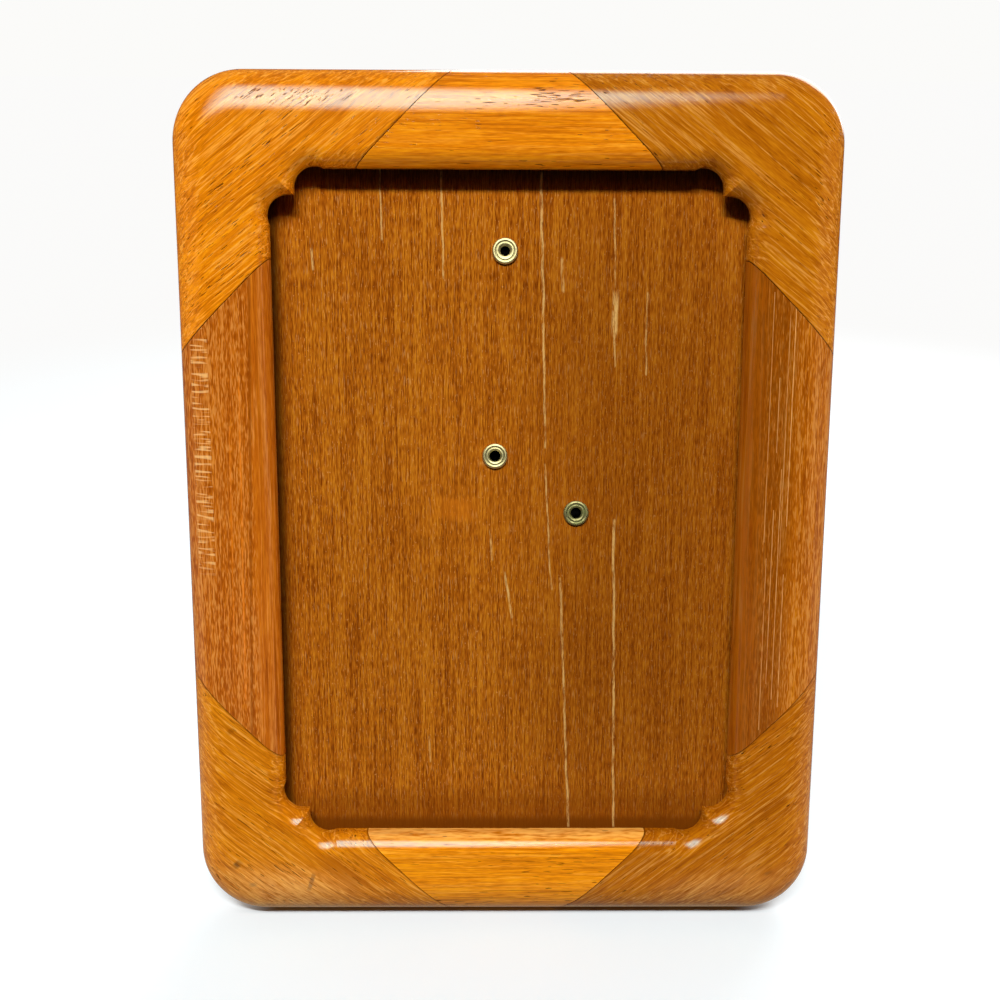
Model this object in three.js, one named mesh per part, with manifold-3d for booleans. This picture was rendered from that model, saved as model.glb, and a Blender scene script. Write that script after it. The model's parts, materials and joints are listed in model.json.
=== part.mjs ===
// Wooden table picture frame on a diagonal easel leg.
// Millimetres, +Z up. The picture faces -Y. The origin is at the bottom centre of the whole object.
// The frame leans back on its lower back edge and on the leg's foot.
// Four straight rails and four corner blocks are glued on 45 degree lines.

import * as THREE from "three";
import { mergeVertices } from "three/addons/utils/BufferGeometryUtils.js";
import Module from "manifold-3d";

const wasm = await Module();
wasm.setup();

// Frame, in its own plane: X to the right, Y from the front face to the back, Z up from the bottom edge
const FRAME_WIDTH = 159;
const FRAME_HEIGHT = 211;
const FRAME_THICKNESS = 12.7;
const RAIL_WIDTH = 22.8;
const CORNER_BLOCK_LEG = 66.5;
const OUTER_CORNER_RADIUS = 17;
const FRONT_ROUND_OVER = 9.5;
const BACK_ROUND_OVER = 1.5;
const GLUE_LINE = 0.3;

// Stepped opening, cut by a round cutter that runs a little past the rails, with a softened front edge
const CORNER_STEP = 6;
const CUTTER_RADIUS = 4.8;
const CUTTER_OVERRUN = 0.5;
const SIGHT_ROUND_OVER = 4.7;

// Rabbet and panel: the lip in front, a space for a pane and a print, then the plywood panel
const LIP_THICKNESS = 6.2;
const RABBET_LEDGE = 7.2;
const RABBET_CORNER_RADIUS = 5;
const GLAZING_SPACE = 2.3;
const PANEL_THICKNESS = 4;
const PANEL_CLEARANCE = 0.4;

// Standing
const LEAN_ANGLE = THREE.MathUtils.degToRad(12);
const LEG_OPEN_ANGLE = THREE.MathUtils.degToRad(24);

// Semi-tubular rivets: a rolled mouth with a blind bore in front, a domed head at the back
const RIVET_FLANGE_RADIUS = 3.15;
const RIVET_TUBE_RADIUS = 1.8;
const RIVET_BORE_RADIUS = 1.3;
const RIVET_BORE_DEPTH = 4;
const RIVET_FLANGE_THICKNESS = 0.6;
const RIVET_MOUTH_RADIUS = 1.9;
const RIVET_HEAD_HEIGHT = 0.9;
const RIVET_HOLE_CLEARANCE = 0.3;
const SEAT_GAP = 0.25;

// Easel hinge: the rivet pair's middle is measured from the frame's centre
const HINGE_SLOPE = THREE.MathUtils.degToRad(35.2);
const HINGE_RIVET_SPACING = 24.8;
const HINGE_RIVETS_RIGHT = 6.95;
const HINGE_RIVETS_UP = 7.35;
const HINGE_RIVET_TO_AXIS = 7.5;
const LEAF_END_MARGIN = 5.6;
const LEAF_WIDTH = 13;
const LEAF_THICKNESS = 0.8;
const LEAF_CORNER_RADIUS = 2;
const LEAF_EDGE_CLEARANCE = 0.4;
const LEG_LEAF_RISE = 0.7;
const KNUCKLE_RADIUS = 1.9;
const KNUCKLE_BORE_RADIUS = 1.15;
const KNUCKLE_COUNT = 5;
const KNUCKLE_GAP = 0.3;
const PIN_RADIUS = 0.9;
const PIN_HEAD_RADIUS = 1.5;
const PIN_HEAD_HEIGHT = 0.7;
const STOP_TAB_LENGTH = 3.6;
const STOP_TAB_WIDTH = 4;

// Easel leg
const LEG_THICKNESS = 4;
const LEG_SIDE_MARGIN = 1;
const LEG_FOOT_FLARE = 3;
const LEG_TOP_CLEARANCE = 1.2;
const LEG_TIP_OFFSET = 5;
const LEG_CORNER_RADIUS = 3;

// Hanger: a strap folded round a wire ring, its rivet measured from the frame's centre
const HANGER_RIVET_RIGHT = -0.9;
const HANGER_RIVET_UP = 64.1;
const STRAP_WIDTH = 8;
const STRAP_THICKNESS = 1.2;
const STRAP_TAIL = 4;
const STRAP_RIVET_TO_LOOP = 8.5;
const LOOP_OUTER_RADIUS = 1.8;
const RING_WIRE_RADIUS = 0.8;
const RING_WIRE_CLEARANCE = 0.3;
const RING_WIDTH = 15;
const RING_HEIGHT = 14;
const RING_FOOT_WIDTH = 10;
const RING_CORNER_RADIUS = 2.4;

// Turn buttons and their screws on the backs of the side rails
const BUTTON_SPREAD = 62;
const BUTTON_THICKNESS = 1;
const BUTTON_BOSS_RADIUS = 5;
const BUTTON_TIP_RADIUS = 3;
const BUTTON_REACH = 13;
const SCREW_FROM_RABBET = 6.5;
const SCREW_HEAD_RADIUS = 2.9;
const SCREW_HEAD_HEIGHT = 1.7;
const SCREW_SHANK_RADIUS = 1.2;
const SCREW_DEPTH = 8;
const SCREW_POINT_LENGTH = 2.5;
const SCREW_CLEARANCE = 0.3;
const SCREW_SLOT_WIDTH = 0.7;
const SCREW_SLOT_DEPTH = 0.7;

// Facets in a quarter turn of each kind of curve, how far a cut runs past a face, and the welding distance
const CORNER_FACETS = 10;
const ROUND_OVER_FACETS = 7;
const EDGE_FACETS = 2;
const NOTCH_FACETS = 6;
const SMALL_ROUND_FACETS = 5;
const RING_STEPS = 40;
const RING_SIDES = 8;
const CUT_MARGIN = 2;
const WELD_DISTANCE = 1e-4;

// Sizes that follow from the ones above
const QUARTER_TURN = Math.PI / 2;
const FULL_ROUND_FACETS = SMALL_ROUND_FACETS * 4;
const MID_HEIGHT = FRAME_HEIGHT / 2;
const SIGHT_HALF_WIDTH = FRAME_WIDTH / 2 - RAIL_WIDTH;
const SIGHT_HALF_HEIGHT = FRAME_HEIGHT / 2 - RAIL_WIDTH;
const RABBET_HALF_WIDTH = SIGHT_HALF_WIDTH + RABBET_LEDGE;
const RABBET_HALF_HEIGHT = SIGHT_HALF_HEIGHT + RABBET_LEDGE;
const PANEL_FRONT = LIP_THICKNESS + GLAZING_SPACE;
const PANEL_BACK = PANEL_FRONT + PANEL_THICKNESS;
const HINGE_AXIS_DEPTH = PANEL_BACK + SEAT_GAP + KNUCKLE_RADIUS;
const RIVET_HOLE_RADIUS = RIVET_TUBE_RADIUS + RIVET_HOLE_CLEARANCE;
const LEAF_LENGTH = HINGE_RIVET_SPACING + 2 * LEAF_END_MARGIN;
const LEG_TOP_WIDTH = LEAF_LENGTH + 2 * LEG_SIDE_MARGIN;
const LEG_FOOT_WIDTH = LEG_TOP_WIDTH + 2 * LEG_FOOT_FLARE;
const LEG_INNER_FACE = LEG_LEAF_RISE + LEAF_THICKNESS + SEAT_GAP - KNUCKLE_RADIUS;
const LEG_TOP = KNUCKLE_RADIUS + LEG_TOP_CLEARANCE;
const LEAF_EDGE = KNUCKLE_RADIUS + LEAF_EDGE_CLEARANCE;

// Finishes
const finish = (color, roughness, metalness) => () =>
  new THREE.MeshStandardMaterial({ color, roughness, metalness });
const varnishedRail = finish("#d98d1c", 0.3, 0);
const varnishedBlock = finish("#cf8a22", 0.3, 0);
const stainedPlywood = finish("#8f5417", 0.55, 0);
const paleBrass = finish("#c9b06a", 0.35, 1);
const brassPlate = finish("#b8963f", 0.4, 1);

const piece = (name, geometry, makeMaterial) => {
  const mesh = new THREE.Mesh(geometry, makeMaterial());
  mesh.name = name;
  return mesh;
};

// Solids: a closed geometry becomes a body that can be joined and cut, and turns back into a geometry
const toSolid = (geometry) => {
  const bare = geometry.clone();
  bare.deleteAttribute("normal");
  bare.deleteAttribute("uv");
  const merged = mergeVertices(bare, WELD_DISTANCE);
  const vertProperties = Float32Array.from(merged.attributes.position.array);
  const triVerts = Uint32Array.from(merged.index.array);
  return new wasm.Manifold(new wasm.Mesh({ numProp: 3, vertProperties, triVerts }));
};

const toGeometry = (solid) => {
  const mesh = solid.getMesh();
  const geometry = new THREE.BufferGeometry();
  geometry.setAttribute("position", new THREE.BufferAttribute(mesh.vertProperties, mesh.numProp));
  geometry.setIndex(new THREE.BufferAttribute(mesh.triVerts, 1));
  geometry.computeVertexNormals();
  return geometry;
};

const joinAll = (solids) => solids.reduce((whole, next) => whole.add(next));
const cutAll = (solid, cutters) => cutters.reduce((rest, cutter) => rest.subtract(cutter), solid);

// A loft through rings of equal point counts, listed from front to back, each anticlockwise from the front
const loft = (rings) => {
  const count = rings[0].length;
  const last = rings.length - 1;
  const points = rings.flat();
  const indices = [];
  for (let ring = 0; ring < last; ring += 1) {
    for (let side = 0; side < count; side += 1) {
      const next = (side + 1) % count;
      const front = ring * count;
      const back = front + count;
      indices.push(front + side, back + side, front + next);
      indices.push(front + next, back + side, back + next);
    }
  }
  for (let side = 1; side < count - 1; side += 1) {
    const back = last * count;
    indices.push(0, side, side + 1);
    indices.push(back, back + side + 1, back + side);
  }
  const geometry = new THREE.BufferGeometry().setFromPoints(points);
  geometry.setIndex(indices);
  return geometry;
};

// A rectangle with round corners, centred on the frame, at one depth
const roundedRing = (halfWidth, halfHeight, radius, depth, facets) => {
  const ring = [];
  for (let corner = 0; corner < 4; corner += 1) {
    const right = corner < 2 ? 1 : -1;
    const up = corner === 1 || corner === 2 ? 1 : -1;
    for (let step = 0; step <= facets; step += 1) {
      const angle = (corner - 1 + step / facets) * QUARTER_TURN;
      const x = right * (halfWidth - radius) + radius * Math.cos(angle);
      const z = up * (halfHeight - radius) + radius * Math.sin(angle);
      ring.push(new THREE.Vector3(x, depth, MID_HEIGHT + z));
    }
  }
  return ring;
};

// Steps of a quarter round: how deep each step lies and how far it stands back from the full outline
const quarterRound = (radius, facets) => {
  const steps = [];
  for (let step = 0; step <= facets; step += 1) {
    const angle = (step / facets) * QUARTER_TURN;
    steps.push({ depth: radius * (1 - Math.cos(angle)), inset: radius * (1 - Math.sin(angle)) });
  }
  return steps;
};

const prism = (shape, depth, curveSegments = SMALL_ROUND_FACETS) =>
  new THREE.ExtrudeGeometry(shape, { depth, bevelEnabled: false, curveSegments });

// A plate drawn as seen from the front, reaching from one depth to another
const plateAcross = (shape, frontDepth, thickness, curveSegments) => {
  const geometry = prism(shape, thickness, curveSegments);
  geometry.rotateX(QUARTER_TURN);
  geometry.translate(0, frontDepth + thickness, 0);
  return geometry;
};

const box = (minimum, maximum) => {
  const size = new THREE.Vector3().subVectors(maximum, minimum);
  const geometry = new THREE.BoxGeometry(size.x, size.y, size.z);
  geometry.translate(minimum.x + size.x / 2, minimum.y + size.y / 2, minimum.z + size.z / 2);
  return geometry;
};

// A straight-sided outline with every corner rounded
const roundedPolygon = (corners, radius) => {
  const shape = new THREE.Shape();
  corners.forEach((corner, index) => {
    const before = corners[(index + corners.length - 1) % corners.length];
    const after = corners[(index + 1) % corners.length];
    const towardsBefore = before.clone().sub(corner).setLength(radius).add(corner);
    const towardsAfter = after.clone().sub(corner).setLength(radius).add(corner);
    if (index === 0) {
      shape.moveTo(towardsBefore.x, towardsBefore.y);
    } else {
      shape.lineTo(towardsBefore.x, towardsBefore.y);
    }
    shape.quadraticCurveTo(corner.x, corner.y, towardsAfter.x, towardsAfter.y);
  });
  shape.closePath();
  return shape;
};

const roundHole = (x, y, radius) => new THREE.Path().absarc(x, y, radius, 0, Math.PI * 2, true);

// A revolved piece about the depth axis, its profile given as radius and depth pairs
const turned = (profile) => {
  const points = profile.map(([radius, depth]) => new THREE.Vector2(radius, depth));
  return new THREE.LatheGeometry(points, FULL_ROUND_FACETS);
};

// Frame blank: a board with a large front round-over and eased back edges
const frameBlank = () => {
  const ring = (depth, inset) =>
    roundedRing(
      FRAME_WIDTH / 2 - inset,
      FRAME_HEIGHT / 2 - inset,
      OUTER_CORNER_RADIUS - inset,
      depth,
      CORNER_FACETS,
    );
  const front = quarterRound(FRONT_ROUND_OVER, ROUND_OVER_FACETS);
  const back = quarterRound(BACK_ROUND_OVER, EDGE_FACETS).reverse();
  const rings = front.map(({ depth, inset }) => ring(depth, inset));
  rings.push(...back.map(({ depth, inset }) => ring(FRAME_THICKNESS - depth, inset)));
  return toSolid(loft(rings));
};

// Opening: a wide and a tall rounded rectangle overlap, so each corner keeps a pointed tooth
const sightCutter = (halfWidth, halfHeight) => {
  const ring = (depth, inset) =>
    roundedRing(
      halfWidth + inset,
      halfHeight + inset,
      CUTTER_RADIUS + inset,
      depth,
      NOTCH_FACETS,
    );
  const flare = quarterRound(SIGHT_ROUND_OVER, SMALL_ROUND_FACETS);
  const rings = [ring(-CUT_MARGIN, SIGHT_ROUND_OVER)];
  rings.push(...flare.map(({ depth, inset }) => ring(depth, inset)));
  rings.push(ring(LIP_THICKNESS + CUT_MARGIN, 0));
  return toSolid(loft(rings));
};

// The cutter's own round plunge, which reaches past the rail line at each end of its run
const cutterPlunge = (x, z) => {
  const flare = quarterRound(SIGHT_ROUND_OVER, SMALL_ROUND_FACETS);
  const profile = [
    [0, -CUT_MARGIN],
    [CUTTER_RADIUS + SIGHT_ROUND_OVER, -CUT_MARGIN],
    ...flare.map(({ depth, inset }) => [CUTTER_RADIUS + inset, depth]),
    [CUTTER_RADIUS, LIP_THICKNESS + CUT_MARGIN],
    [0, LIP_THICKNESS + CUT_MARGIN],
  ];
  const geometry = turned(profile);
  geometry.translate(x, 0, MID_HEIGHT + z);
  return toSolid(geometry);
};

const openingCutters = () => {
  const cutters = [
    sightCutter(SIGHT_HALF_WIDTH, SIGHT_HALF_HEIGHT - CORNER_STEP),
    sightCutter(SIGHT_HALF_WIDTH - CORNER_STEP, SIGHT_HALF_HEIGHT),
  ];
  const reachX = SIGHT_HALF_WIDTH - CUTTER_RADIUS;
  const reachZ = SIGHT_HALF_HEIGHT - CUTTER_RADIUS;
  for (const right of [-1, 1]) {
    for (const up of [-1, 1]) {
      cutters.push(cutterPlunge(right * (reachX + CUTTER_OVERRUN), up * (reachZ - CORNER_STEP)));
      cutters.push(cutterPlunge(right * (reachX - CORNER_STEP), up * (reachZ + CUTTER_OVERRUN)));
    }
  }
  return cutters;
};

const rabbetCutter = () => {
  const ring = (depth) =>
    roundedRing(RABBET_HALF_WIDTH, RABBET_HALF_HEIGHT, RABBET_CORNER_RADIUS, depth, NOTCH_FACETS);
  return toSolid(loft([ring(LIP_THICKNESS), ring(FRAME_THICKNESS + CUT_MARGIN)]));
};

// Turn button places on the side rails
const BUTTON_PLACES = [];
for (const [side, right] of [["left", -1], ["right", 1]]) {
  for (const [level, up] of [["lower", -1], ["upper", 1]]) {
    const x = right * (RABBET_HALF_WIDTH + SCREW_FROM_RABBET);
    const z = MID_HEIGHT + (up * BUTTON_SPREAD) / 2;
    BUTTON_PLACES.push({ name: `${side}_${level}`, right, x, z });
  }
}

const pilotHole = ({ x, z }) => {
  const radius = SCREW_SHANK_RADIUS + SCREW_CLEARANCE;
  const bottom = FRAME_THICKNESS - SCREW_DEPTH - SCREW_CLEARANCE;
  const top = FRAME_THICKNESS + CUT_MARGIN;
  const geometry = turned([[0, bottom], [radius, bottom], [radius, top], [0, top]]);
  geometry.translate(x, 0, z);
  return toSolid(geometry);
};

const frameSolid = () =>
  cutAll(frameBlank(), [...openingCutters(), rabbetCutter(), ...BUTTON_PLACES.map(pilotHole)]);

// The triangle that a corner block takes, with its long side moved in or out by half the glue line
const cornerTriangle = (right, up, shift) => {
  const leg = CORNER_BLOCK_LEG + shift * Math.SQRT2 + 2 * CUT_MARGIN;
  const x = right * (FRAME_WIDTH / 2 + CUT_MARGIN);
  const z = MID_HEIGHT + up * (FRAME_HEIGHT / 2 + CUT_MARGIN);
  const shape = new THREE.Shape();
  shape.moveTo(x, z);
  shape.lineTo(x - right * leg, z);
  shape.lineTo(x, z - up * leg);
  shape.closePath();
  return toSolid(plateAcross(shape, -CUT_MARGIN, FRAME_THICKNESS + 2 * CUT_MARGIN));
};

const CORNERS = [
  { name: "top_left_corner_block", right: -1, up: 1 },
  { name: "top_right_corner_block", right: 1, up: 1 },
  { name: "bottom_left_corner_block", right: -1, up: -1 },
  { name: "bottom_right_corner_block", right: 1, up: -1 },
];

const cornerBlocks = (whole) =>
  CORNERS.map(({ name, right, up }) => {
    const block = whole.intersect(cornerTriangle(right, up, -GLUE_LINE / 2));
    return piece(name, toGeometry(block), varnishedBlock);
  });

const RAILS = [
  { name: "top_rail", right: 0, up: 1 },
  { name: "bottom_rail", right: 0, up: -1 },
  { name: "left_rail", right: -1, up: 0 },
  { name: "right_rail", right: 1, up: 0 },
];

// The part of the frame that one rail is cut from: its own side, between the opening's steps
const railSpan = (right, up) => {
  const farX = FRAME_WIDTH / 2 + CUT_MARGIN;
  const farZ = FRAME_HEIGHT / 2 + CUT_MARGIN;
  const stepX = SIGHT_HALF_WIDTH - CORNER_STEP;
  const stepZ = SIGHT_HALF_HEIGHT - CORNER_STEP;
  const xs = up === 0 ? [0, right * farX] : [-stepX, stepX];
  const zs = right === 0 ? [0, up * farZ] : [-stepZ, stepZ];
  const lowest = new THREE.Vector3(Math.min(...xs), -CUT_MARGIN, MID_HEIGHT + Math.min(...zs));
  const highest = new THREE.Vector3(
    Math.max(...xs),
    FRAME_THICKNESS + CUT_MARGIN,
    MID_HEIGHT + Math.max(...zs),
  );
  return toSolid(box(lowest, highest));
};

const rails = (whole) => {
  const triangles = CORNERS.map(({ right, up }) => cornerTriangle(right, up, GLUE_LINE / 2));
  return RAILS.map(({ name, right, up }) => {
    const rail = cutAll(whole.intersect(railSpan(right, up)), triangles);
    return piece(name, toGeometry(rail), varnishedRail);
  });
};

// Hinge axes in the frame: along the pin, from the pin towards the foot, and out of the panel's back
const HINGE_ALONG = new THREE.Vector3(Math.cos(HINGE_SLOPE), 0, -Math.sin(HINGE_SLOPE));
const HINGE_DOWN = new THREE.Vector3(-Math.sin(HINGE_SLOPE), 0, -Math.cos(HINGE_SLOPE));
const HINGE_OUT = new THREE.Vector3(0, 1, 0);
const HINGE_RIVETS_MIDDLE = new THREE.Vector3(HINGE_RIVETS_RIGHT, 0, MID_HEIGHT + HINGE_RIVETS_UP);
const HANGER_RIVET = new THREE.Vector3(HANGER_RIVET_RIGHT, 0, MID_HEIGHT + HANGER_RIVET_UP);

const hingeRivetPlace = (side) =>
  HINGE_RIVETS_MIDDLE.clone().addScaledVector(HINGE_ALONG, (side * HINGE_RIVET_SPACING) / 2);

// Back panel with a hole for each rivet
const backPanel = () => {
  const halfWidth = RABBET_HALF_WIDTH - PANEL_CLEARANCE;
  const halfHeight = RABBET_HALF_HEIGHT - PANEL_CLEARANCE;
  const radius = RABBET_CORNER_RADIUS;
  const outline = roundedRing(halfWidth, halfHeight, radius, 0, NOTCH_FACETS);
  const shape = new THREE.Shape(outline.map((point) => new THREE.Vector2(point.x, point.z)));
  for (const place of [hingeRivetPlace(-1), hingeRivetPlace(1), HANGER_RIVET]) {
    shape.holes.push(roundHole(place.x, place.z, RIVET_HOLE_RADIUS));
  }
  const geometry = plateAcross(shape, PANEL_FRONT, PANEL_THICKNESS, FULL_ROUND_FACETS);
  return piece("back_panel", geometry, stainedPlywood);
};

// A rivet along the depth axis, with its mouth and its head seated on the two outer faces
const rivet = (frontFace, backFace) => {
  const front = frontFace - SEAT_GAP;
  const back = backFace + SEAT_GAP;
  const frontTop = front - RIVET_FLANGE_THICKNESS;
  const backTop = back + RIVET_HEAD_HEIGHT;
  const boreEnd = front + RIVET_BORE_DEPTH;
  const crown = (RIVET_FLANGE_RADIUS + RIVET_MOUTH_RADIUS) / 2;
  const half = RIVET_FLANGE_THICKNESS / 2;
  return turned([
    [0, boreEnd],
    [RIVET_BORE_RADIUS, boreEnd],
    [RIVET_BORE_RADIUS, front],
    [RIVET_MOUTH_RADIUS, frontTop + half / 2],
    [crown, frontTop],
    [RIVET_FLANGE_RADIUS, frontTop + half],
    [RIVET_FLANGE_RADIUS, front],
    [RIVET_TUBE_RADIUS, front],
    [RIVET_TUBE_RADIUS, back],
    [RIVET_FLANGE_RADIUS, back],
    [RIVET_FLANGE_RADIUS, backTop - half * 2],
    [crown, backTop - half],
    [RIVET_BORE_RADIUS, backTop],
    [0, backTop],
  ]);
};

const panelRivets = () => {
  const leafBack = PANEL_BACK + SEAT_GAP + LEAF_THICKNESS;
  const strapBack = PANEL_BACK + SEAT_GAP + STRAP_THICKNESS;
  const rows = [
    { name: "hinge_rivet_left", place: hingeRivetPlace(-1), backFace: leafBack },
    { name: "hinge_rivet_right", place: hingeRivetPlace(1), backFace: leafBack },
    { name: "hanger_rivet", place: HANGER_RIVET, backFace: strapBack },
  ];
  return rows.map(({ name, place, backFace }) => {
    const mesh = piece(name, rivet(PANEL_FRONT, backFace), paleBrass);
    mesh.position.copy(place);
    return mesh;
  });
};

// Side outline of a metal sheet whose end is rolled into a loop centred on the origin.
// The sheet lies towards -X, and its underside is raised above the loop's lowest point by the rise.
const rolledSheet = ({ length, thickness, rise, outerRadius, innerRadius }) => {
  const underside = rise - outerRadius;
  const topside = underside + thickness;
  const start = Math.PI - Math.asin(underside / outerRadius);
  const end = 3 * Math.PI - Math.asin(topside / outerRadius);
  const shape = new THREE.Shape();
  shape.moveTo(-length, underside);
  shape.lineTo(outerRadius * Math.cos(start), underside);
  shape.absarc(0, 0, outerRadius, start, end, false);
  shape.lineTo(-length, topside);
  shape.closePath();
  shape.holes.push(roundHole(0, 0, innerRadius));
  return shape;
};

// Turns a side outline so that it runs along the pin: X becomes "towards", Y becomes "out"
const alongPin = (geometry, towards, out) => {
  const axis = new THREE.Vector3().crossVectors(towards, out);
  geometry.applyMatrix4(new THREE.Matrix4().makeBasis(towards, out, axis));
  return geometry;
};

// Hinge pieces use the hinge's own axes: X along the pin, Y towards the foot, Z out of the back
const AXIS_X = new THREE.Vector3(1, 0, 0);
const AXIS_Y = new THREE.Vector3(0, 1, 0);
const AXIS_Z = new THREE.Vector3(0, 0, 1);

const KNUCKLE_PITCH = LEAF_LENGTH / KNUCKLE_COUNT;
const knuckleCentre = (index) => (index + 0.5) * KNUCKLE_PITCH - LEAF_LENGTH / 2;

// One leaf: a plate with rivet holes, and every second knuckle of the barrel
const hingeLeaf = ({ side, rise, firstKnuckle }) => {
  const near = side * LEAF_EDGE;
  const far = side * (LEAF_EDGE + LEAF_WIDTH);
  const half = LEAF_LENGTH / 2;
  const corners = [
    new THREE.Vector2(-half, Math.min(near, far)),
    new THREE.Vector2(half, Math.min(near, far)),
    new THREE.Vector2(half, Math.max(near, far)),
    new THREE.Vector2(-half, Math.max(near, far)),
  ];
  const plateShape = roundedPolygon(corners, LEAF_CORNER_RADIUS);
  for (const end of [-1, 1]) {
    const x = (end * HINGE_RIVET_SPACING) / 2;
    plateShape.holes.push(roundHole(x, side * HINGE_RIVET_TO_AXIS, RIVET_HOLE_RADIUS));
  }
  const plate = prism(plateShape, LEAF_THICKNESS);
  plate.translate(0, 0, rise - KNUCKLE_RADIUS);
  const solids = [toSolid(plate)];
  const knuckleShape = rolledSheet({
    length: LEAF_EDGE + LEAF_CORNER_RADIUS,
    thickness: LEAF_THICKNESS,
    rise,
    outerRadius: KNUCKLE_RADIUS,
    innerRadius: KNUCKLE_BORE_RADIUS,
  });
  const length = KNUCKLE_PITCH - KNUCKLE_GAP;
  const towards = AXIS_Y.clone().multiplyScalar(-side);
  for (let index = firstKnuckle; index < KNUCKLE_COUNT; index += 2) {
    const knuckle = prism(knuckleShape, length, FULL_ROUND_FACETS);
    knuckle.translate(0, 0, -length / 2);
    alongPin(knuckle, towards, AXIS_Z);
    knuckle.translate(knuckleCentre(index), 0, 0);
    solids.push(toSolid(knuckle));
  }
  return joinAll(solids);
};

const panelLeaf = () => {
  const leaf = hingeLeaf({ side: -1, rise: 0, firstKnuckle: 0 });
  return piece("hinge_panel_leaf", toGeometry(leaf), brassPlate);
};

// Stop tabs reach from the leg leaf's knuckles over the panel leaf, and lie on it when the leg is open
const stopTab = (index) => {
  const bottom = LEAF_THICKNESS + SEAT_GAP - KNUCKLE_RADIUS;
  const wall = (KNUCKLE_RADIUS + KNUCKLE_BORE_RADIUS) / 2;
  const x = knuckleCentre(index);
  const tab = box(
    new THREE.Vector3(x - STOP_TAB_WIDTH / 2, -KNUCKLE_RADIUS - STOP_TAB_LENGTH, bottom),
    new THREE.Vector3(x + STOP_TAB_WIDTH / 2, -wall, bottom + LEAF_THICKNESS),
  );
  tab.rotateX(-LEG_OPEN_ANGLE);
  return toSolid(tab);
};

const legLeaf = () => {
  const leaf = hingeLeaf({ side: 1, rise: LEG_LEAF_RISE, firstKnuckle: 1 });
  const tabs = [];
  for (let index = 1; index < KNUCKLE_COUNT; index += 2) {
    tabs.push(stopTab(index));
  }
  return piece("hinge_leg_leaf", toGeometry(joinAll([leaf, ...tabs])), brassPlate);
};

const hingePin = () => {
  const end = LEAF_LENGTH / 2 - KNUCKLE_GAP / 2 + SEAT_GAP;
  const top = end + PIN_HEAD_HEIGHT;
  const shoulder = end + PIN_HEAD_HEIGHT / 2;
  const geometry = turned([
    [0, -top],
    [PIN_RADIUS, -top],
    [PIN_HEAD_RADIUS, -shoulder],
    [PIN_HEAD_RADIUS, -end],
    [PIN_RADIUS, -end],
    [PIN_RADIUS, end],
    [PIN_HEAD_RADIUS, end],
    [PIN_HEAD_RADIUS, shoulder],
    [PIN_RADIUS, top],
    [0, top],
  ]);
  geometry.rotateZ(-QUARTER_TURN);
  return piece("hinge_pin", geometry, brassPlate);
};

// Easel leg: its foot is cut along the table line, and along the frame's side for standing on that side
const easelLeg = (legAxes) => {
  legAxes.updateWorldMatrix(true, false);
  const heightAt = (x, y) =>
    new THREE.Vector3(x, y, LEG_INNER_FACE).applyMatrix4(legAxes.matrixWorld).z;
  const base = heightAt(0, 0);
  const risePerX = heightAt(1, 0) - base;
  const risePerY = heightAt(0, 1) - base;
  const tableLine = (x) => -(base + risePerX * x) / risePerY;
  const halfTop = LEG_TOP_WIDTH / 2;
  const halfFoot = LEG_FOOT_WIDTH / 2;
  const tip = new THREE.Vector2(LEG_TIP_OFFSET, tableLine(LEG_TIP_OFFSET));
  const sideRun = (halfFoot + LEG_TIP_OFFSET) / Math.tan(HINGE_SLOPE);
  const shape = roundedPolygon(
    [
      new THREE.Vector2(-halfTop, LEG_TOP),
      new THREE.Vector2(halfTop, LEG_TOP),
      new THREE.Vector2(halfFoot, tableLine(halfFoot)),
      tip,
      new THREE.Vector2(-halfFoot, tip.y - sideRun),
    ],
    LEG_CORNER_RADIUS,
  );
  for (const end of [-1, 1]) {
    const x = (end * HINGE_RIVET_SPACING) / 2;
    shape.holes.push(roundHole(x, HINGE_RIVET_TO_AXIS, RIVET_HOLE_RADIUS));
  }
  const geometry = prism(shape, LEG_THICKNESS, SMALL_ROUND_FACETS * 2);
  geometry.translate(0, 0, LEG_INNER_FACE);
  return piece("easel_leg", geometry, stainedPlywood);
};

const legRivets = () =>
  [["left", -1], ["right", 1]].map(([name, end]) => {
    const geometry = rivet(LEG_LEAF_RISE - KNUCKLE_RADIUS, LEG_INNER_FACE + LEG_THICKNESS);
    geometry.rotateX(QUARTER_TURN);
    const mesh = piece(`leg_rivet_${name}`, geometry, paleBrass);
    mesh.position.set((end * HINGE_RIVET_SPACING) / 2, HINGE_RIVET_TO_AXIS, 0);
    return mesh;
  });

const addHinge = (leaned) => {
  const hinge = new THREE.Group();
  const basis = new THREE.Matrix4().makeBasis(HINGE_ALONG, HINGE_DOWN, HINGE_OUT);
  hinge.quaternion.setFromRotationMatrix(basis);
  hinge.position.copy(HINGE_RIVETS_MIDDLE);
  hinge.position.addScaledVector(HINGE_DOWN, HINGE_RIVET_TO_AXIS);
  hinge.position.y = HINGE_AXIS_DEPTH;
  leaned.add(hinge);
  const legAxes = new THREE.Group();
  legAxes.rotation.x = LEG_OPEN_ANGLE;
  hinge.add(panelLeaf(), hingePin(), legAxes);
  legAxes.add(easelLeg(legAxes), legLeaf(), ...legRivets());
};

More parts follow.
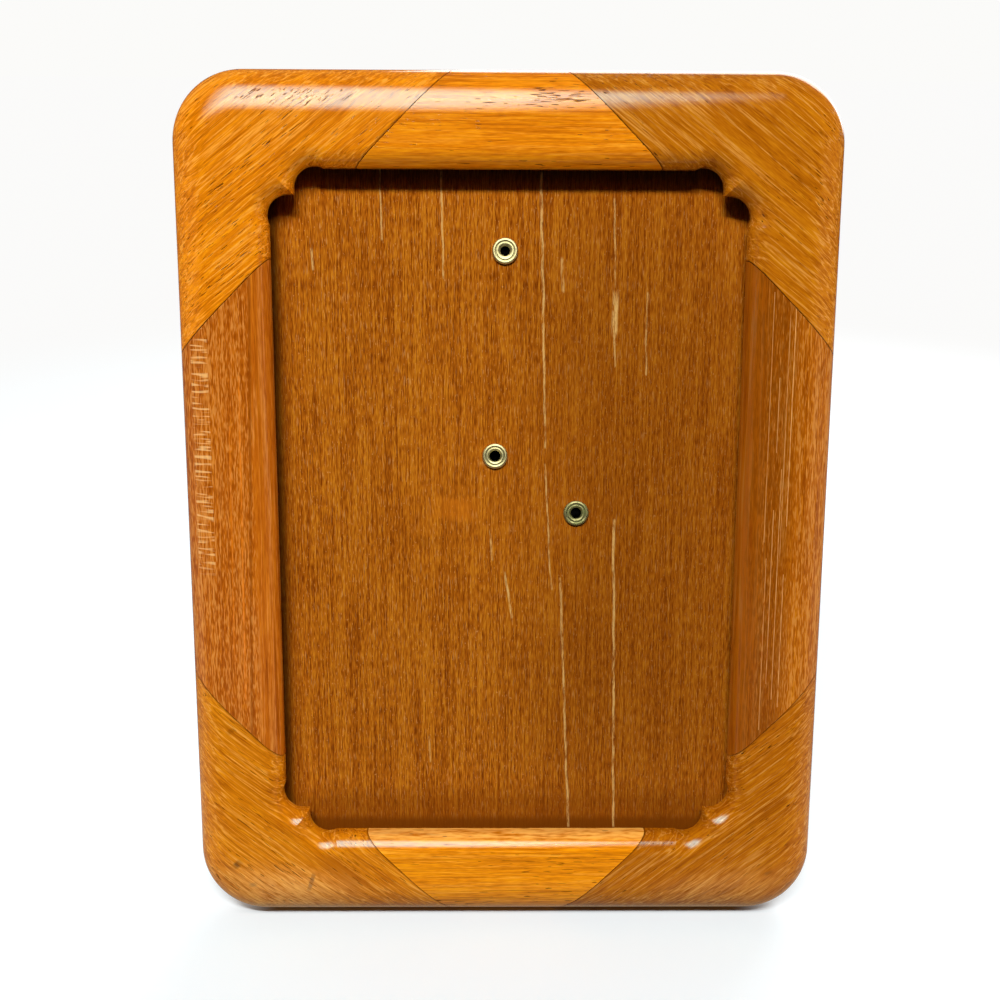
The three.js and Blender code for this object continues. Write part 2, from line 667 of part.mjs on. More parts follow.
// Hanger strap: a strip folded double, with its fold rolled round the ring
const hangerStrap = () => {
  const shape = rolledSheet({
    length: STRAP_RIVET_TO_LOOP + STRAP_TAIL,
    thickness: STRAP_THICKNESS,
    rise: 0,
    outerRadius: LOOP_OUTER_RADIUS,
    innerRadius: RING_WIRE_RADIUS + RING_WIRE_CLEARANCE,
  });
  const strip = prism(shape, STRAP_WIDTH, FULL_ROUND_FACETS);
  strip.translate(0, 0, -STRAP_WIDTH / 2);
  alongPin(strip, AXIS_Z, AXIS_Y);
  const reach = LOOP_OUTER_RADIUS + CUT_MARGIN;
  const hole = turned([
    [0, -reach],
    [RIVET_HOLE_RADIUS, -reach],
    [RIVET_HOLE_RADIUS, reach],
    [0, reach],
  ]);
  hole.translate(0, 0, -STRAP_RIVET_TO_LOOP);
  const strap = toSolid(strip).subtract(toSolid(hole));
  return piece("hanger_strap", toGeometry(strap), brassPlate);
};

// Wire ring: a straight bar in the strap's loop and two sides that draw in towards the foot
const hangerRing = () => {
  const half = RING_WIDTH / 2;
  const foot = RING_FOOT_WIDTH / 2;
  const outline = roundedPolygon(
    [
      new THREE.Vector2(half, 0),
      new THREE.Vector2(-half, 0),
      new THREE.Vector2(-foot, -RING_HEIGHT),
      new THREE.Vector2(foot, -RING_HEIGHT),
    ],
    RING_CORNER_RADIUS,
  );
  const points = outline.getSpacedPoints(RING_STEPS).slice(0, -1);
  const path = new THREE.CatmullRomCurve3(
    points.map((point) => new THREE.Vector3(point.x, 0, point.y)),
    true,
  );
  const tube = new THREE.TubeGeometry(path, RING_STEPS, RING_WIRE_RADIUS, RING_SIDES, true);
  return piece("hanger_ring", toGeometry(toSolid(tube)), brassPlate);
};

const addHanger = (leaned) => {
  const hanger = new THREE.Group();
  hanger.position.copy(HANGER_RIVET);
  hanger.position.y = PANEL_BACK + SEAT_GAP + LOOP_OUTER_RADIUS;
  hanger.position.z += STRAP_RIVET_TO_LOOP;
  leaned.add(hanger);
  const ring = hangerRing();
  ring.rotation.x = LEAN_ANGLE;
  hanger.add(hangerStrap(), ring);
};

// Turn button: a round boss on the screw and a tongue that narrows to a round tip over the panel
const turnButton = (name) => {
  const slope = Math.acos((BUTTON_BOSS_RADIUS - BUTTON_TIP_RADIUS) / BUTTON_REACH);
  const shape = new THREE.Shape();
  shape.absarc(0, 0, BUTTON_BOSS_RADIUS, slope, 2 * Math.PI - slope, false);
  shape.absarc(BUTTON_REACH, 0, BUTTON_TIP_RADIUS, -slope, slope, false);
  shape.closePath();
  shape.holes.push(roundHole(0, 0, SCREW_SHANK_RADIUS + SCREW_CLEARANCE));
  const geometry = plateAcross(shape, SEAT_GAP, BUTTON_THICKNESS, SMALL_ROUND_FACETS * 3);
  return piece(`turn_button_${name}`, geometry, brassPlate);
};

// Round-headed wood screw with a slot
const buttonScrew = (name) => {
  const seat = SEAT_GAP + BUTTON_THICKNESS + SEAT_GAP;
  const dome = quarterRound(SCREW_HEAD_HEIGHT, SMALL_ROUND_FACETS).reverse();
  const crownRadius = SCREW_HEAD_RADIUS - SCREW_HEAD_HEIGHT;
  const profile = [
    [0, -SCREW_DEPTH],
    [SCREW_SHANK_RADIUS, SCREW_POINT_LENGTH - SCREW_DEPTH],
    [SCREW_SHANK_RADIUS, seat],
    ...dome.map(({ depth, inset }) => [
      crownRadius + SCREW_HEAD_HEIGHT - inset,
      seat + SCREW_HEAD_HEIGHT - depth,
    ]),
    [0, seat + SCREW_HEAD_HEIGHT],
  ];
  const top = seat + SCREW_HEAD_HEIGHT;
  const slot = box(
    new THREE.Vector3(-SCREW_SLOT_WIDTH / 2, top - SCREW_SLOT_DEPTH, -SCREW_HEAD_RADIUS - CUT_MARGIN),
    new THREE.Vector3(SCREW_SLOT_WIDTH / 2, top + CUT_MARGIN, SCREW_HEAD_RADIUS + CUT_MARGIN),
  );
  const screw = toSolid(turned(profile)).subtract(toSolid(slot));
  return piece(`turn_button_screw_${name}`, toGeometry(screw), brassPlate);
};

const addTurnButtons = (leaned) => {
  for (const { name, right, x, z } of BUTTON_PLACES) {
    const place = new THREE.Group();
    place.position.set(x, FRAME_THICKNESS, z);
    place.rotation.y = right > 0 ? Math.PI : 0;
    place.add(turnButton(name), buttonScrew(name));
    leaned.add(place);
  }
};

// The whole object: wood first, so that the leaned frame's lowest edge sets the table height
const pictureFrame = new THREE.Group();
const leaned = new THREE.Group();
leaned.rotation.x = -LEAN_ANGLE;
pictureFrame.add(leaned);

const whole = frameSolid();
leaned.add(...rails(whole), ...cornerBlocks(whole));
leaned.position.z = -new THREE.Box3().setFromObject(leaned, true).min.z;

leaned.add(backPanel(), ...panelRivets());
addHinge(leaned);
addHanger(leaned);
addTurnButtons(leaned);

// The origin goes under the middle of the object's depth
const reach = new THREE.Box3().setFromObject(pictureFrame, true);
leaned.position.y = -(reach.min.y + reach.max.y) / 2;
leaned.position.x = -(reach.min.x + reach.max.x) / 2;

export default pictureFrame;
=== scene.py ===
"""Looks of a varnished wooden picture frame on an easel leg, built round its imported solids."""

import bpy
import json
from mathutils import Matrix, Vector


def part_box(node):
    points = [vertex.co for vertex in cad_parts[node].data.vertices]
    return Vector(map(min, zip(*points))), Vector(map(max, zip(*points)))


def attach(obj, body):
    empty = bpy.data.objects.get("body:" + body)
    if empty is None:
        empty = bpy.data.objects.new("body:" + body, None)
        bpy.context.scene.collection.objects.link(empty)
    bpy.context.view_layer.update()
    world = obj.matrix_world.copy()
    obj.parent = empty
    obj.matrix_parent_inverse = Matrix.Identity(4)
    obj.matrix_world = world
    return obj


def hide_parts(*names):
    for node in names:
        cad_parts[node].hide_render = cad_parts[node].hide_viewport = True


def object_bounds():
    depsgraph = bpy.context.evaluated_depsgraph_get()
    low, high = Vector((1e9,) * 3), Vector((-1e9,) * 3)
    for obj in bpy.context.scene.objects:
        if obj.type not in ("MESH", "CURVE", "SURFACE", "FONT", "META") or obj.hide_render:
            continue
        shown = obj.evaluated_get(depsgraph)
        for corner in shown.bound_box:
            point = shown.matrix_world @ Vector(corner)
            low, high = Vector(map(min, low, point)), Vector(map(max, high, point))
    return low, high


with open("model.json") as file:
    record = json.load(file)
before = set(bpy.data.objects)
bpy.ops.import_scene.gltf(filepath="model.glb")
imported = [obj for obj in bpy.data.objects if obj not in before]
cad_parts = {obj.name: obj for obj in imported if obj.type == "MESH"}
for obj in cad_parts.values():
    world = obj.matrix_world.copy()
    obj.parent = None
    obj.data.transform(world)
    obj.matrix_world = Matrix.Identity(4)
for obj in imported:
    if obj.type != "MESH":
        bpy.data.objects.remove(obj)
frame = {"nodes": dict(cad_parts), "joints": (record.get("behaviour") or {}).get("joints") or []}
CAD_BOX = [list(corner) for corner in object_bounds()]

import json
import math

import bmesh
import bpy
from bpy.props import FloatProperty, FloatVectorProperty, PointerProperty
from mathutils import Euler, Matrix, Vector

bl_info = {
    "name": "Wooden picture frame",
    "version": (1, 0, 0),
    "blender": (4, 5, 0),
    "location": "View3D > Sidebar > Picture frame",
    "description": "Builds the varnished wood, plywood and brass of a leaning picture frame",
    "category": "Object",
}

MM = 0.001
NODES = frame["nodes"]
SIDES = {"left": -1, "right": 1}
LEVELS = {"bottom": -1, "top": 1}
BUTTONS = [f"{side}_{level}" for side in SIDES for level in ("lower", "upper")]
RIGHT_ANGLE = math.pi / 2
DEPTH_AXIS = Vector((0, 1, 0))
BLACK = (0.0, 0.0, 0.0)

# Groups of pieces that lamps of their own shine on
WOOD_LIGHT = "varnished wood"
METAL_LIGHT = "bright metal"


def number(name, value, description, unit="NONE"):
    """A number property that a user can change."""
    return FloatProperty(name=name, description=description, default=value, unit=unit)


def length(name, millimetres, description):
    """A length property, given in millimetres."""
    return FloatProperty(name=name, description=description, default=millimetres * MM,
                         min=0.0, soft_max=1.0, unit="LENGTH", precision=5)


def colour(name, red, green, blue, description):
    """A colour property, given as display values from 0 to 255."""
    linear = [((c / 255 + 0.055) / 1.055) ** 2.4 if c > 10 else c / 255 / 12.92
              for c in (red, green, blue)]
    return FloatVectorProperty(name=name, description=description, default=linear, size=3,
                               min=0.0, max=1.0, subtype="COLOR")


class FrameSizes(bpy.types.PropertyGroup):
    """Sizes of the moulded wood."""
    width: length("Width", 159, "Outside width of the frame")
    height: length("Height", 211, "Outside height of the frame along its face")
    thickness: length("Thickness", 12.7, "Thickness of the wood")
    rail: length("Rail width", 22.8, "Width of a rail from the outside to the opening")
    block_leg: length("Corner block", 66.5, "How far a corner block reaches along each side")
    glue_line: length("Glue line", 0.16, "Open joint between a rail and a corner block")
    corner: length("Outer corner", 17, "Radius of the outer corners")
    front_round: length("Front round-over", 9.5, "Depth of the outer front edge's round-over")
    front_spread: length("Front spread", 11.4, "How far the sanded round-over reaches into the face")
    back_round: length("Back edge", 1.5, "Radius of the outer back edge")
    sight_round: length("Sight round-over", 4.7, "Radius of the opening's front edge")
    step: length("Corner step", 6, "How far each tooth steps into the opening")
    cutter: length("Cutter", 4.8, "Radius of the notches beside each tooth")
    overrun: length("Overrun", 0.5, "How far a notch runs past the rail's edge")
    lip: length("Lip", 6.2, "Thickness of the lip in front of the rabbet")
    ledge: length("Ledge", 7.2, "Width of the rabbet's ledge")
    rabbet_corner: length("Rabbet corner", 5, "Radius of the rabbet's corners")
    lean: number("Lean", math.radians(12), "How far the frame leans back", "ROTATION")


class FittingSizes(bpy.types.PropertyGroup):
    """Sizes of the small metal fittings."""
    flange: length("Rivet flange", 3.15, "Radius of a rivet's rolled end")
    bore: length("Rivet bore", 1.3, "Radius of the hole in a rivet")
    flange_height: length("Rivet mouth", 0.6, "How far a rivet's rolled mouth stands out")
    head_height: length("Rivet head", 0.9, "How far a rivet's domed head stands out")
    bore_depth: length("Rivet bore depth", 4, "Depth of the hole in a rivet")
    wire: length("Ring wire", 0.8, "Radius of the hanging ring's wire")
    edge: length("Stamped edge", 0.14, "Rounding of the stamped metal edges")
    screw_head: length("Screw head", 2.9, "Radius of a turn button's screw head")
    screw_rise: length("Screw rise", 1.7, "Height of a turn button's screw head")
    slot: length("Screw slot", 0.7, "Width and depth of a screw's slot")


class Finishes(bpy.types.PropertyGroup):
    """Colours of the finishes."""
    top_rail: colour("Top rail", 225, 127, 8, "Varnished wood of the top rail")
    bottom_rail: colour("Bottom rail", 226, 133, 7, "Varnished wood of the bottom rail")
    left_rail: colour("Left rail", 186, 96, 15, "Varnished wood of the left rail")
    right_rail: colour("Right rail", 174, 93, 11, "Varnished wood of the right rail")
    top_left: colour("Top left block", 223, 126, 8, "Varnished wood of the top left corner")
    top_right: colour("Top right block", 182, 103, 10, "Varnished wood of the top right corner")
    bottom_left: colour("Bottom left block", 202, 116, 9, "Varnished wood of the bottom left corner")
    bottom_right: colour("Bottom right block", 172, 95, 6, "Varnished wood of the bottom right corner")
    panel: colour("Panel", 194, 105, 17, "Stained face of the plywood panel")
    leg: colour("Leg", 150, 84, 22, "Stained face of the plywood leg")
    # Bare wood is also the tone of the painted highlight along the bottom rail's sight edge
    bare: colour("Bare wood", 252, 204, 128, "Wood where a scratch has gone through the stain")
    brass: colour("Rivets", 232, 220, 158, "Pale brass of the rivets")
    aged: colour("Aged rivet", 176, 170, 116, "Dull brass of the rivet that has tarnished")
    plate: colour("Fittings", 196, 160, 84, "Brass plate of the hinge, hanger and turn buttons")


class StageSettings(bpy.types.PropertyGroup):
    """Camera and lamps."""
    lens: number("Lens", 40.32, "Focal length on a 36 mm sensor", "CAMERA")
    eye: FloatVectorProperty(name="Eye", description="Where the camera stands", size=3,
                             default=(-0.004624, -0.264286, 0.209825), unit="LENGTH")
    turn: FloatVectorProperty(name="Turn", description="How the camera is turned", size=3,
                              default=[math.radians(a) for a in (68.4169, -0.3228, -0.4749)],
                              unit="ROTATION", subtype="EULER")
    key_watts: number("Key", 22.0, "Power of the key lamp", "POWER")
    side_watts: number("Sides", 1.8, "Power of each lamp beside the wood", "POWER")
    back_watts: number("Back", 8.0, "Power of the lamp behind the frame", "POWER")
    bounce_watts: number("Bounce", 0.3, "Power of the lamp low in front of the wood", "POWER")
    gloss: number("Gloss", 19.0, "Brightness of the lamp that the varnish mirrors")
    sheen: number("Sheen", 3.0, "Brightness of the lamp that the metal mirrors from the front")
    back_sheen: number("Back sheen", 0.8, "Brightness of the lamp that the metal mirrors from behind")
    fill: number("Fill", 0.01, "Brightness of the room in front")
    room: number("Room", 0.5, "Brightness of the room behind")


def sizes():
    """The frame's sizes."""
    return bpy.context.scene.picture_frame_sizes


def fittings():
    """The fittings' sizes."""
    return bpy.context.scene.picture_frame_fittings


def finishes():
    """The finishes' colours."""
    return bpy.context.scene.picture_frame_finishes


def stage_settings():
    """The stage's settings."""
    return bpy.context.scene.picture_frame_stage


def leaned():
    """From the frame's own axes (X right, Y from front to back, Z up its face) to the world."""
    s = sizes()
    nose = s.front_round * (math.cos(s.lean) + math.sin(s.lean) - 1)
    lift = (s.thickness - s.back_round) * math.sin(s.lean)
    return Matrix.Translation((0, CAD_BOX[0][1] - nose, lift)) @ Matrix.Rotation(-s.lean, 4, "X")


def backwards():
    """The way out of the frame's back."""
    return leaned().to_3x3() @ DEPTH_AXIS


def joint(name):
    """The record's own joint."""
    return next(j for j in frame["joints"] if j["name"] == name)


def new_object(name, data):
    """A new object in the scene, at the origin."""
    item = bpy.data.objects.new(name, data)
    bpy.context.scene.collection.objects.link(item)
    return item


def dress(item, nodes, body, group=None, material=None):
    """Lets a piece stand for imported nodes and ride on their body, in the light of one group's lamps."""
    if material:
        item.data.materials.clear()
        item.data.materials.append(material)
    if group:
        lit = bpy.data.collections.get(group) or bpy.data.collections.new(group)
        lit.objects.link(item)
    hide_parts(*nodes)
    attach(item, body)


# Wood bodies

# How many faces follow each curve, and how many lie along a rail
SIGHT_STEPS = 14
FRONT_STEPS = 20
BACK_STEPS = 5
NOTCH_STEPS = 18
CORNER_STEPS = 20
RABBET_STEPS = 8
RAIL_STEPS = 6

# Places that agree to this many decimals of a metre are one point, and a face is left out where twice
# its area is smaller than this
PLACE_DIGITS = 8
NO_AREA = 1e-12


class Shell:
    """Faces with a normal for every corner, so that flats stay flat and rounds stay round."""

    def __init__(self):
        self.index = {}
        self.points = []
        self.faces = []
        self.normals = []

    def point(self, place):
        """The number of a point, which is added if it is new."""
        key = tuple(round(c, PLACE_DIGITS) for c in place)
        if key not in self.index:
            self.index[key] = len(self.points)
            self.points.append(Vector(place))
        return self.index[key]

    def face(self, places, normals):
        """Adds a face, turned the way its normals point, unless it has no area."""
        corners = []
        for place, normal in zip(places, normals):
            spot = self.point(place)
            if spot not in [c[0] for c in corners]:
                corners.append((spot, Vector(normal)))
        if len(corners) < 3:
            return
        turned = Vector((0, 0, 0))
        for (a, _), (b, _) in zip(corners, corners[1:] + corners[:1]):
            turned += self.points[a].cross(self.points[b])
        if turned.length < NO_AREA:
            return
        if turned.dot(sum((n for _, n in corners), Vector((0, 0, 0)))) < 0:
            corners.reverse()
        self.faces.append([spot for spot, _ in corners])
        self.normals.extend(normal.normalized() for _, normal in corners)

    def grid(self, rows):
        """A band of quads through rows of (place, normal) pairs."""
        for upper, lower in zip(rows, rows[1:]):
            for k in range(len(upper) - 1):
                ring = [upper[k], upper[k + 1], lower[k + 1], lower[k]]
                self.face([p for p, _ in ring], [n for _, n in ring])

    def flat(self, places, normal):
        """One flat face."""
        self.face(places, [normal] * len(places))

    def piece(self, name, matrix):
        """The finished object, with its place in its mesh and nothing below the floor."""
        mesh = bpy.data.meshes.new(name)
        spots = [matrix @ p for p in self.points]
        for spot in spots:
            spot.z = max(spot.z, 0.0)
        mesh.from_pydata(spots, [], self.faces)
        mesh.shade_smooth()
        turn = matrix.to_3x3()
        mesh.normals_split_custom_set([turn @ n for n in self.normals])
        return new_object(name, mesh)


def steps(first, last, count):
    """Evenly spaced values, both ends included."""
    return [first + (last - first) * k / count for k in range(count + 1)]


def arc(centre, radius, start, end, count, facing):
    """Points of an arc with their side normals, which face out of it (1) or to its centre (-1)."""
    return [(Vector((centre[0] + radius * math.cos(t), centre[1] + radius * math.sin(t))),
             (facing * math.cos(t), facing * math.sin(t))) for t in steps(start, end, count)]


def quarter(deep, count, spread=None):
    """A quarter round as (turn, depth, inset) steps from the face to the side."""
    spread = spread or deep
    return [(math.atan2(math.sin(t) / spread, math.cos(t) / deep), deep * (1 - math.cos(t)),
             spread * (1 - math.sin(t))) for t in steps(0, RIGHT_ANGLE, count)]


def sight_levels():
    """The opening's side from the face to the back of the lip, as (turn, depth, inset) steps."""
    s = sizes()
    return quarter(s.sight_round, SIGHT_STEPS) + [(RIGHT_ANGLE, s.lip, 0.0)]


def outer_levels():
    """The outer side from the face to the back, as (turn, depth, inset, out) steps."""
    s = sizes()
    front = [(*level, -1) for level in quarter(s.front_round, FRONT_STEPS, s.front_spread)]
    back = [(turn, s.thickness - depth, inset, 1)
            for turn, depth, inset in quarter(s.back_round, BACK_STEPS)]
    return front + back[::-1]


def rounded_normal(turn, side, out):
    """The normal on a round-over that turns from an outward face to a side."""
    return Vector((math.sin(turn) * side[0], math.cos(turn) * out, math.sin(turn) * side[1]))


def sight_line(offset, leg):
    """Half of a corner's opening edge, from the rails' own edges: the rail's part, then notch and tooth."""
    s = sizes()
    radius = s.cutter + offset
    centre = Vector((s.overrun - s.cutter, -s.step - s.cutter))
    rail_end = centre.y - math.sqrt(2 * radius * s.overrun - s.overrun ** 2)
    start = -math.acos((radius - s.overrun) / radius)
    rail = [(Vector((offset, end)), (-1, 0)) for end in (2 * s.rail - leg - offset, rail_end)]
    if offset - s.step <= centre.x:
        reach = offset - s.step
        finish, tooth_side = RIGHT_ANGLE, (0, -1)
    else:
        p, q = -centre.x, -centre.y
        reach = (-(p + q) + math.sqrt((p + q) ** 2 - 2 * (p * p + q * q - radius * radius))) / 2
        finish = math.atan2(reach + q, reach + p)
        tooth_side = (-math.cos(finish), -math.sin(finish))
    notch = arc(centre, radius, start, finish, NOTCH_STEPS, -1)
    return rail, notch + [(Vector((reach, reach)), tooth_side)]


def swapped(line):
    """The same edge on the other side of the corner's diagonal, running the other way."""
    return [(Vector((p.y, p.x)), (n[1], n[0])) for p, n in reversed(line)]


def outer_line(inset, leg):
    """A corner block's outer edge, measured from the frame's corner."""
    corner = sizes().corner
    bend = arc((-corner, -corner), corner - inset, 0, RIGHT_ANGLE, CORNER_STEPS, 1)
    return [(Vector((-inset, inset - leg)), (1, 0)), *bend, (Vector((inset - leg, -inset)), (0, 1))]


def rabbet_line(leg):
    """A corner block's rabbet wall, measured from the rails' own edges."""
    s = sizes()
    middle, end = s.ledge - s.rabbet_corner, 2 * s.rail - leg - s.ledge
    bend = arc((middle, middle), s.rabbet_corner, 0, RIGHT_ANGLE, RABBET_STEPS, -1)
    return [(Vector((s.ledge, end)), (-1, 0)), *bend, (Vector((end, s.ledge)), (0, -1))]


def corner_block(right, up):
    """One corner block as a shell."""
    s = sizes()
    shell = Shell()
    leg = s.block_leg - s.glue_line / math.sqrt(2)
    edge = Vector((s.width / 2 - s.rail, s.height / 2 - s.rail))
    far = Vector((s.width / 2, s.height / 2))

    def put(base, line, depth, turn=RIGHT_ANGLE, out=-1):
        """A line's places and normals at a depth."""
        row = []
        for place, side in line:
            at = base + place
            normal = rounded_normal(turn, side, out)
            row.append((Vector((right * at.x, depth, s.height / 2 + up * at.y)),
                        Vector((right * normal.x, normal.y, up * normal.z))))
        return row

    def places(*rows):
        """The places of some rows, one row after the other."""
        return [place for row in rows for place, _ in row]

    bands = [[], [], [], []]
    for turn, depth, offset in sight_levels():
        rail, notch = sight_line(offset, leg)
        for band, line in zip(bands, (rail, notch, swapped(notch), swapped(rail))):
            band.append(put(edge, line, depth, turn))
    outer = [put(far, outer_line(inset, leg), depth, turn, out)
             for turn, depth, inset, out in outer_levels()]
    rabbet = [put(edge, rabbet_line(leg), depth) for depth in (s.lip, s.thickness)]
    for band in (*bands, outer, rabbet):
        shell.grid(band)
    front = places(*[band[0] for band in bands])
    lip = places(*[band[-1] for band in bands])
    shell.flat(front + places(outer[0])[::-1], (0, -1, 0))
    shell.flat(lip + places(rabbet[0])[::-1], (0, 1, 0))
    shell.flat(places(rabbet[1]) + places(outer[-1])[::-1], (0, 1, 0))
    for end, band in ((0, bands[0]), (-1, bands[3])):
        section = [row[end][0] for row in band + rabbet + outer[::-1]]
        shell.flat(section, (-right, 0, -up))
    return shell


def straight_rail(right, up):
    """One straight rail as a shell, with its ends on the 45 degree joints."""
    s = sizes()
    shell = Shell()
    leg = s.block_leg + s.glue_line / math.sqrt(2)
    half = s.width / 2 if right else s.height / 2
    other = s.height / 2 if right else s.width / 2

    def put(inset, depth, side, turn=RIGHT_ANGLE, out=-1):
        """The places and normals of a line along the rail at a depth."""
        reach = other + inset - leg
        normal = rounded_normal(turn, (side, 0), out)
        row = []
        for along in steps(-reach, reach, RAIL_STEPS):
            if right:
                place = (right * (half - inset), depth, s.height / 2 + along)
                facing = (right * normal.x, normal.y, 0)
            else:
                place = (along, depth, s.height / 2 + up * (half - inset))
                facing = (0, normal.y, up * normal.x)
            row.append((Vector(place), Vector(facing)))
        return row

    inner = [put(s.rail - offset, depth, -1, turn) for turn, depth, offset in sight_levels()]
    rabbet = [put(s.rail - s.ledge, depth, -1) for depth in (s.lip, s.thickness)]
    outer = [put(inset, depth, 1, turn, out) for turn, depth, inset, out in outer_levels()]
    for band in (inner, rabbet, outer):
        shell.grid(band)
    for first, second, facing in ((inner[0], outer[0], -1), (inner[-1], rabbet[0], 1),
                                  (rabbet[1], outer[-1], 1)):
        shell.grid([[(p, Vector((0, facing, 0))) for p, _ in row] for row in (first, second)])
    for end, sense in ((0, -1), (-1, 1)):
        section = [row[end][0] for row in inner + rabbet + outer[::-1]]
        shell.flat(section, (right, 0, sense) if right else (sense, 0, up))
    return shell


# Shader expressions

class Value:
    """A shader socket in a Python expression: each operation adds a Math node."""

    def __init__(self, nodes, socket):
        self.nodes = nodes
        self.socket = socket

    def maths(self, operation, *operands, clamp=False):
        """The result of a Math node."""
        return self.nodes.node("Math", {"operation": operation, "use_clamp": clamp}, *operands)

    def __add__(self, other):
        return self.maths("ADD", self, other)

    def __sub__(self, other):
        return self.maths("SUBTRACT", self, other)

    def __rsub__(self, other):
        return self.maths("SUBTRACT", other, self)

    def __mul__(self, other):
        return self.maths("MULTIPLY", self, other)

    def __neg__(self):
        return self.maths("MULTIPLY", self, -1.0)

    __radd__ = __add__
    __rmul__ = __mul__

    def top(self, other):
        """The larger of the two."""
        return self.maths("MAXIMUM", self, other)

    def size(self):
        """The value without its sign."""
        return self.maths("ABSOLUTE", self)

    def held(self):
        """The value kept between 0 and 1."""
        return self.maths("ADD", self, 0.0, clamp=True)

    def ramp(self, start, end):
        """0 at start, 1 at end, smooth between."""
        return self.nodes.node("MapRange", {"interpolation_type": "SMOOTHSTEP"},
                               **{"Value": self, "From Min": start, "From Max": end})


class Nodes:
    """A node tree and the means to add nodes to it."""

    def __init__(self, tree):
        self.tree = tree

    @staticmethod
    def socket(sockets, key):
        """One of a node's sockets, by its number, or by the name or identifier of one in use."""
        if isinstance(key, int):
            return sockets[key]
        return next(s for s in sockets if s.enabled and key in (s.name, s.identifier))

    def feed(self, socket, value):
        """Links a value to a socket, or sets a number, vector or colour on it."""
        if isinstance(value, Value):
            self.tree.links.new(value.socket, socket)
        elif hasattr(socket.default_value, "__len__") and len(socket.default_value) == 4:
            socket.default_value = (*value, 1.0)[:4]
        else:
            socket.default_value = value

    def node(self, kind, settings=None, *values, output=0, **named):
        """Adds any node: settings first, then sockets by order or by name. Gives one output, or several."""
        item = self.tree.nodes.new("ShaderNode" + kind)
        for key, setting in (settings or {}).items():
            setattr(item, key, setting)
        for key, value in (*enumerate(values), *named.items()):
            self.feed(self.socket(item.inputs, key), value)
        if isinstance(output, tuple):
            return [Value(self, self.socket(item.outputs, key)) for key in output]
        return Value(self, self.socket(item.outputs, output))

    def scaled(self, vector, *scale):
        """A vector scaled by a factor for each axis."""
        return self.node("VectorMath", {"operation": "MULTIPLY"}, vector, scale)

    def distance(self, vector):
        """A vector's length."""
        return self.node("VectorMath", {"operation": "LENGTH"}, vector, output="Value")

    def apart(self, vector):
        """A vector's three values."""
        return self.node("SeparateXYZ", {}, vector, output=("X", "Y", "Z"))

    def noise(self, vector, scale=1.0, detail=2.0, roughness=0.5, distortion=0.0):
        """Noise about 0, mostly between -1 and 1."""
        level = self.node("TexNoise", {}, Vector=vector, Scale=scale, Detail=detail,
                          Roughness=roughness, Distortion=distortion)
        return level * 4.0 - 2.0

    def mix(self, share, first, second):
        """Two colours mixed by a share."""
        return self.node("Mix", {"data_type": "RGBA", "clamp_factor": True}, output="Result_Color",
                         Factor_Float=share, A_Color=first, B_Color=second)

    def rays(self, *kinds):
        """1 for rays of these kinds, 0 for all others."""
        share, *others = self.node("LightPath", output=tuple(f"Is {kind} Ray" for kind in kinds))
        for other in others:
            share = share.top(other)
        return share


class Paint(Nodes):
    """A material whose base colour is laid on in coats, over one tone."""

    def __init__(self, name, tone):
        self.material = bpy.data.materials.new(name)
        self.material.use_nodes = True
        super().__init__(self.material.node_tree)
        self.shader = self.tree.nodes["Principled BSDF"]
        self.colour = tone

    def lay(self, share, tone):
        """Lays a coat over the colour so far, by a share."""
        self.colour = self.mix(share, self.colour, tone)

    def vary(self, level, light, dark):
        """Lays a light coat where a level is above 0 and a dark one where it is below."""
        self.lay(level.held(), light)
        self.lay((-level).held(), dark)

    def space(self, matrix):
        """Object coordinates carried into a piece's own axes, in millimetres."""
        return self.node("Mapping", {"vector_type": "POINT"}, Vector=self.node("TexCoord", output="Object"),
                         Location=matrix.translation / MM, Rotation=matrix.to_euler(),
                         Scale=(1 / MM, 1 / MM, 1 / MM))

    def stroke(self, x, z, start, end, width):
        """A mask for a line between two points of a face, soft at its sides and ends."""
        reach = math.dist(start, end)
        along_x, along_z = ((end[0] - start[0]) / reach, (end[1] - start[1]) / reach)
        along = (x - start[0]) * along_x + (z - start[1]) * along_z
        across = (x - start[0]) * along_z - (z - start[1]) * along_x
        return (across.size().ramp(width, width * 0.3) * along.ramp(-width, width)
                * along.ramp(reach + width, reach - width))

    def relief(self, height, strength, distance):
        """A bump from a height."""
        return self.node("Bump", {}, Strength=strength, Distance=distance, Height=height)

    def finish(self, **sockets):
        """Feeds the shader and gives the material."""
        for key, value in {"Base_Color": self.colour, **sockets}.items():
            self.feed(self.shader.inputs[key.replace("_", " ")], value)
        return self.material

    def cover(self, share, tone):
        """Lays a matt colour over the finished shader, by a share."""
        matt = self.node("BsdfDiffuse", {}, Color=tone)
        both = self.node("MixShader", {}, share, Value(self, self.shader.outputs[0]), matt)
        self.feed(self.tree.nodes["Material Output"].inputs["Surface"], both)


def shade(tone, factor, warm=1.0):
    """A darker or lighter tone of a colour, a little redder when warm is above 1."""
    return tuple(min(1.0, c * factor * w) for c, w in zip(tone, (warm, 1.0, 1.0 / warm)))


def grain_of(slope, seed):
    """The matrix into a grain that runs in the frame's face at a slope."""
    shift = Matrix.Translation(Vector((0.37, 0.11, 0.23)) * seed)
    return shift @ Matrix.Rotation(slope, 4, "Y") @ leaned().inverted()


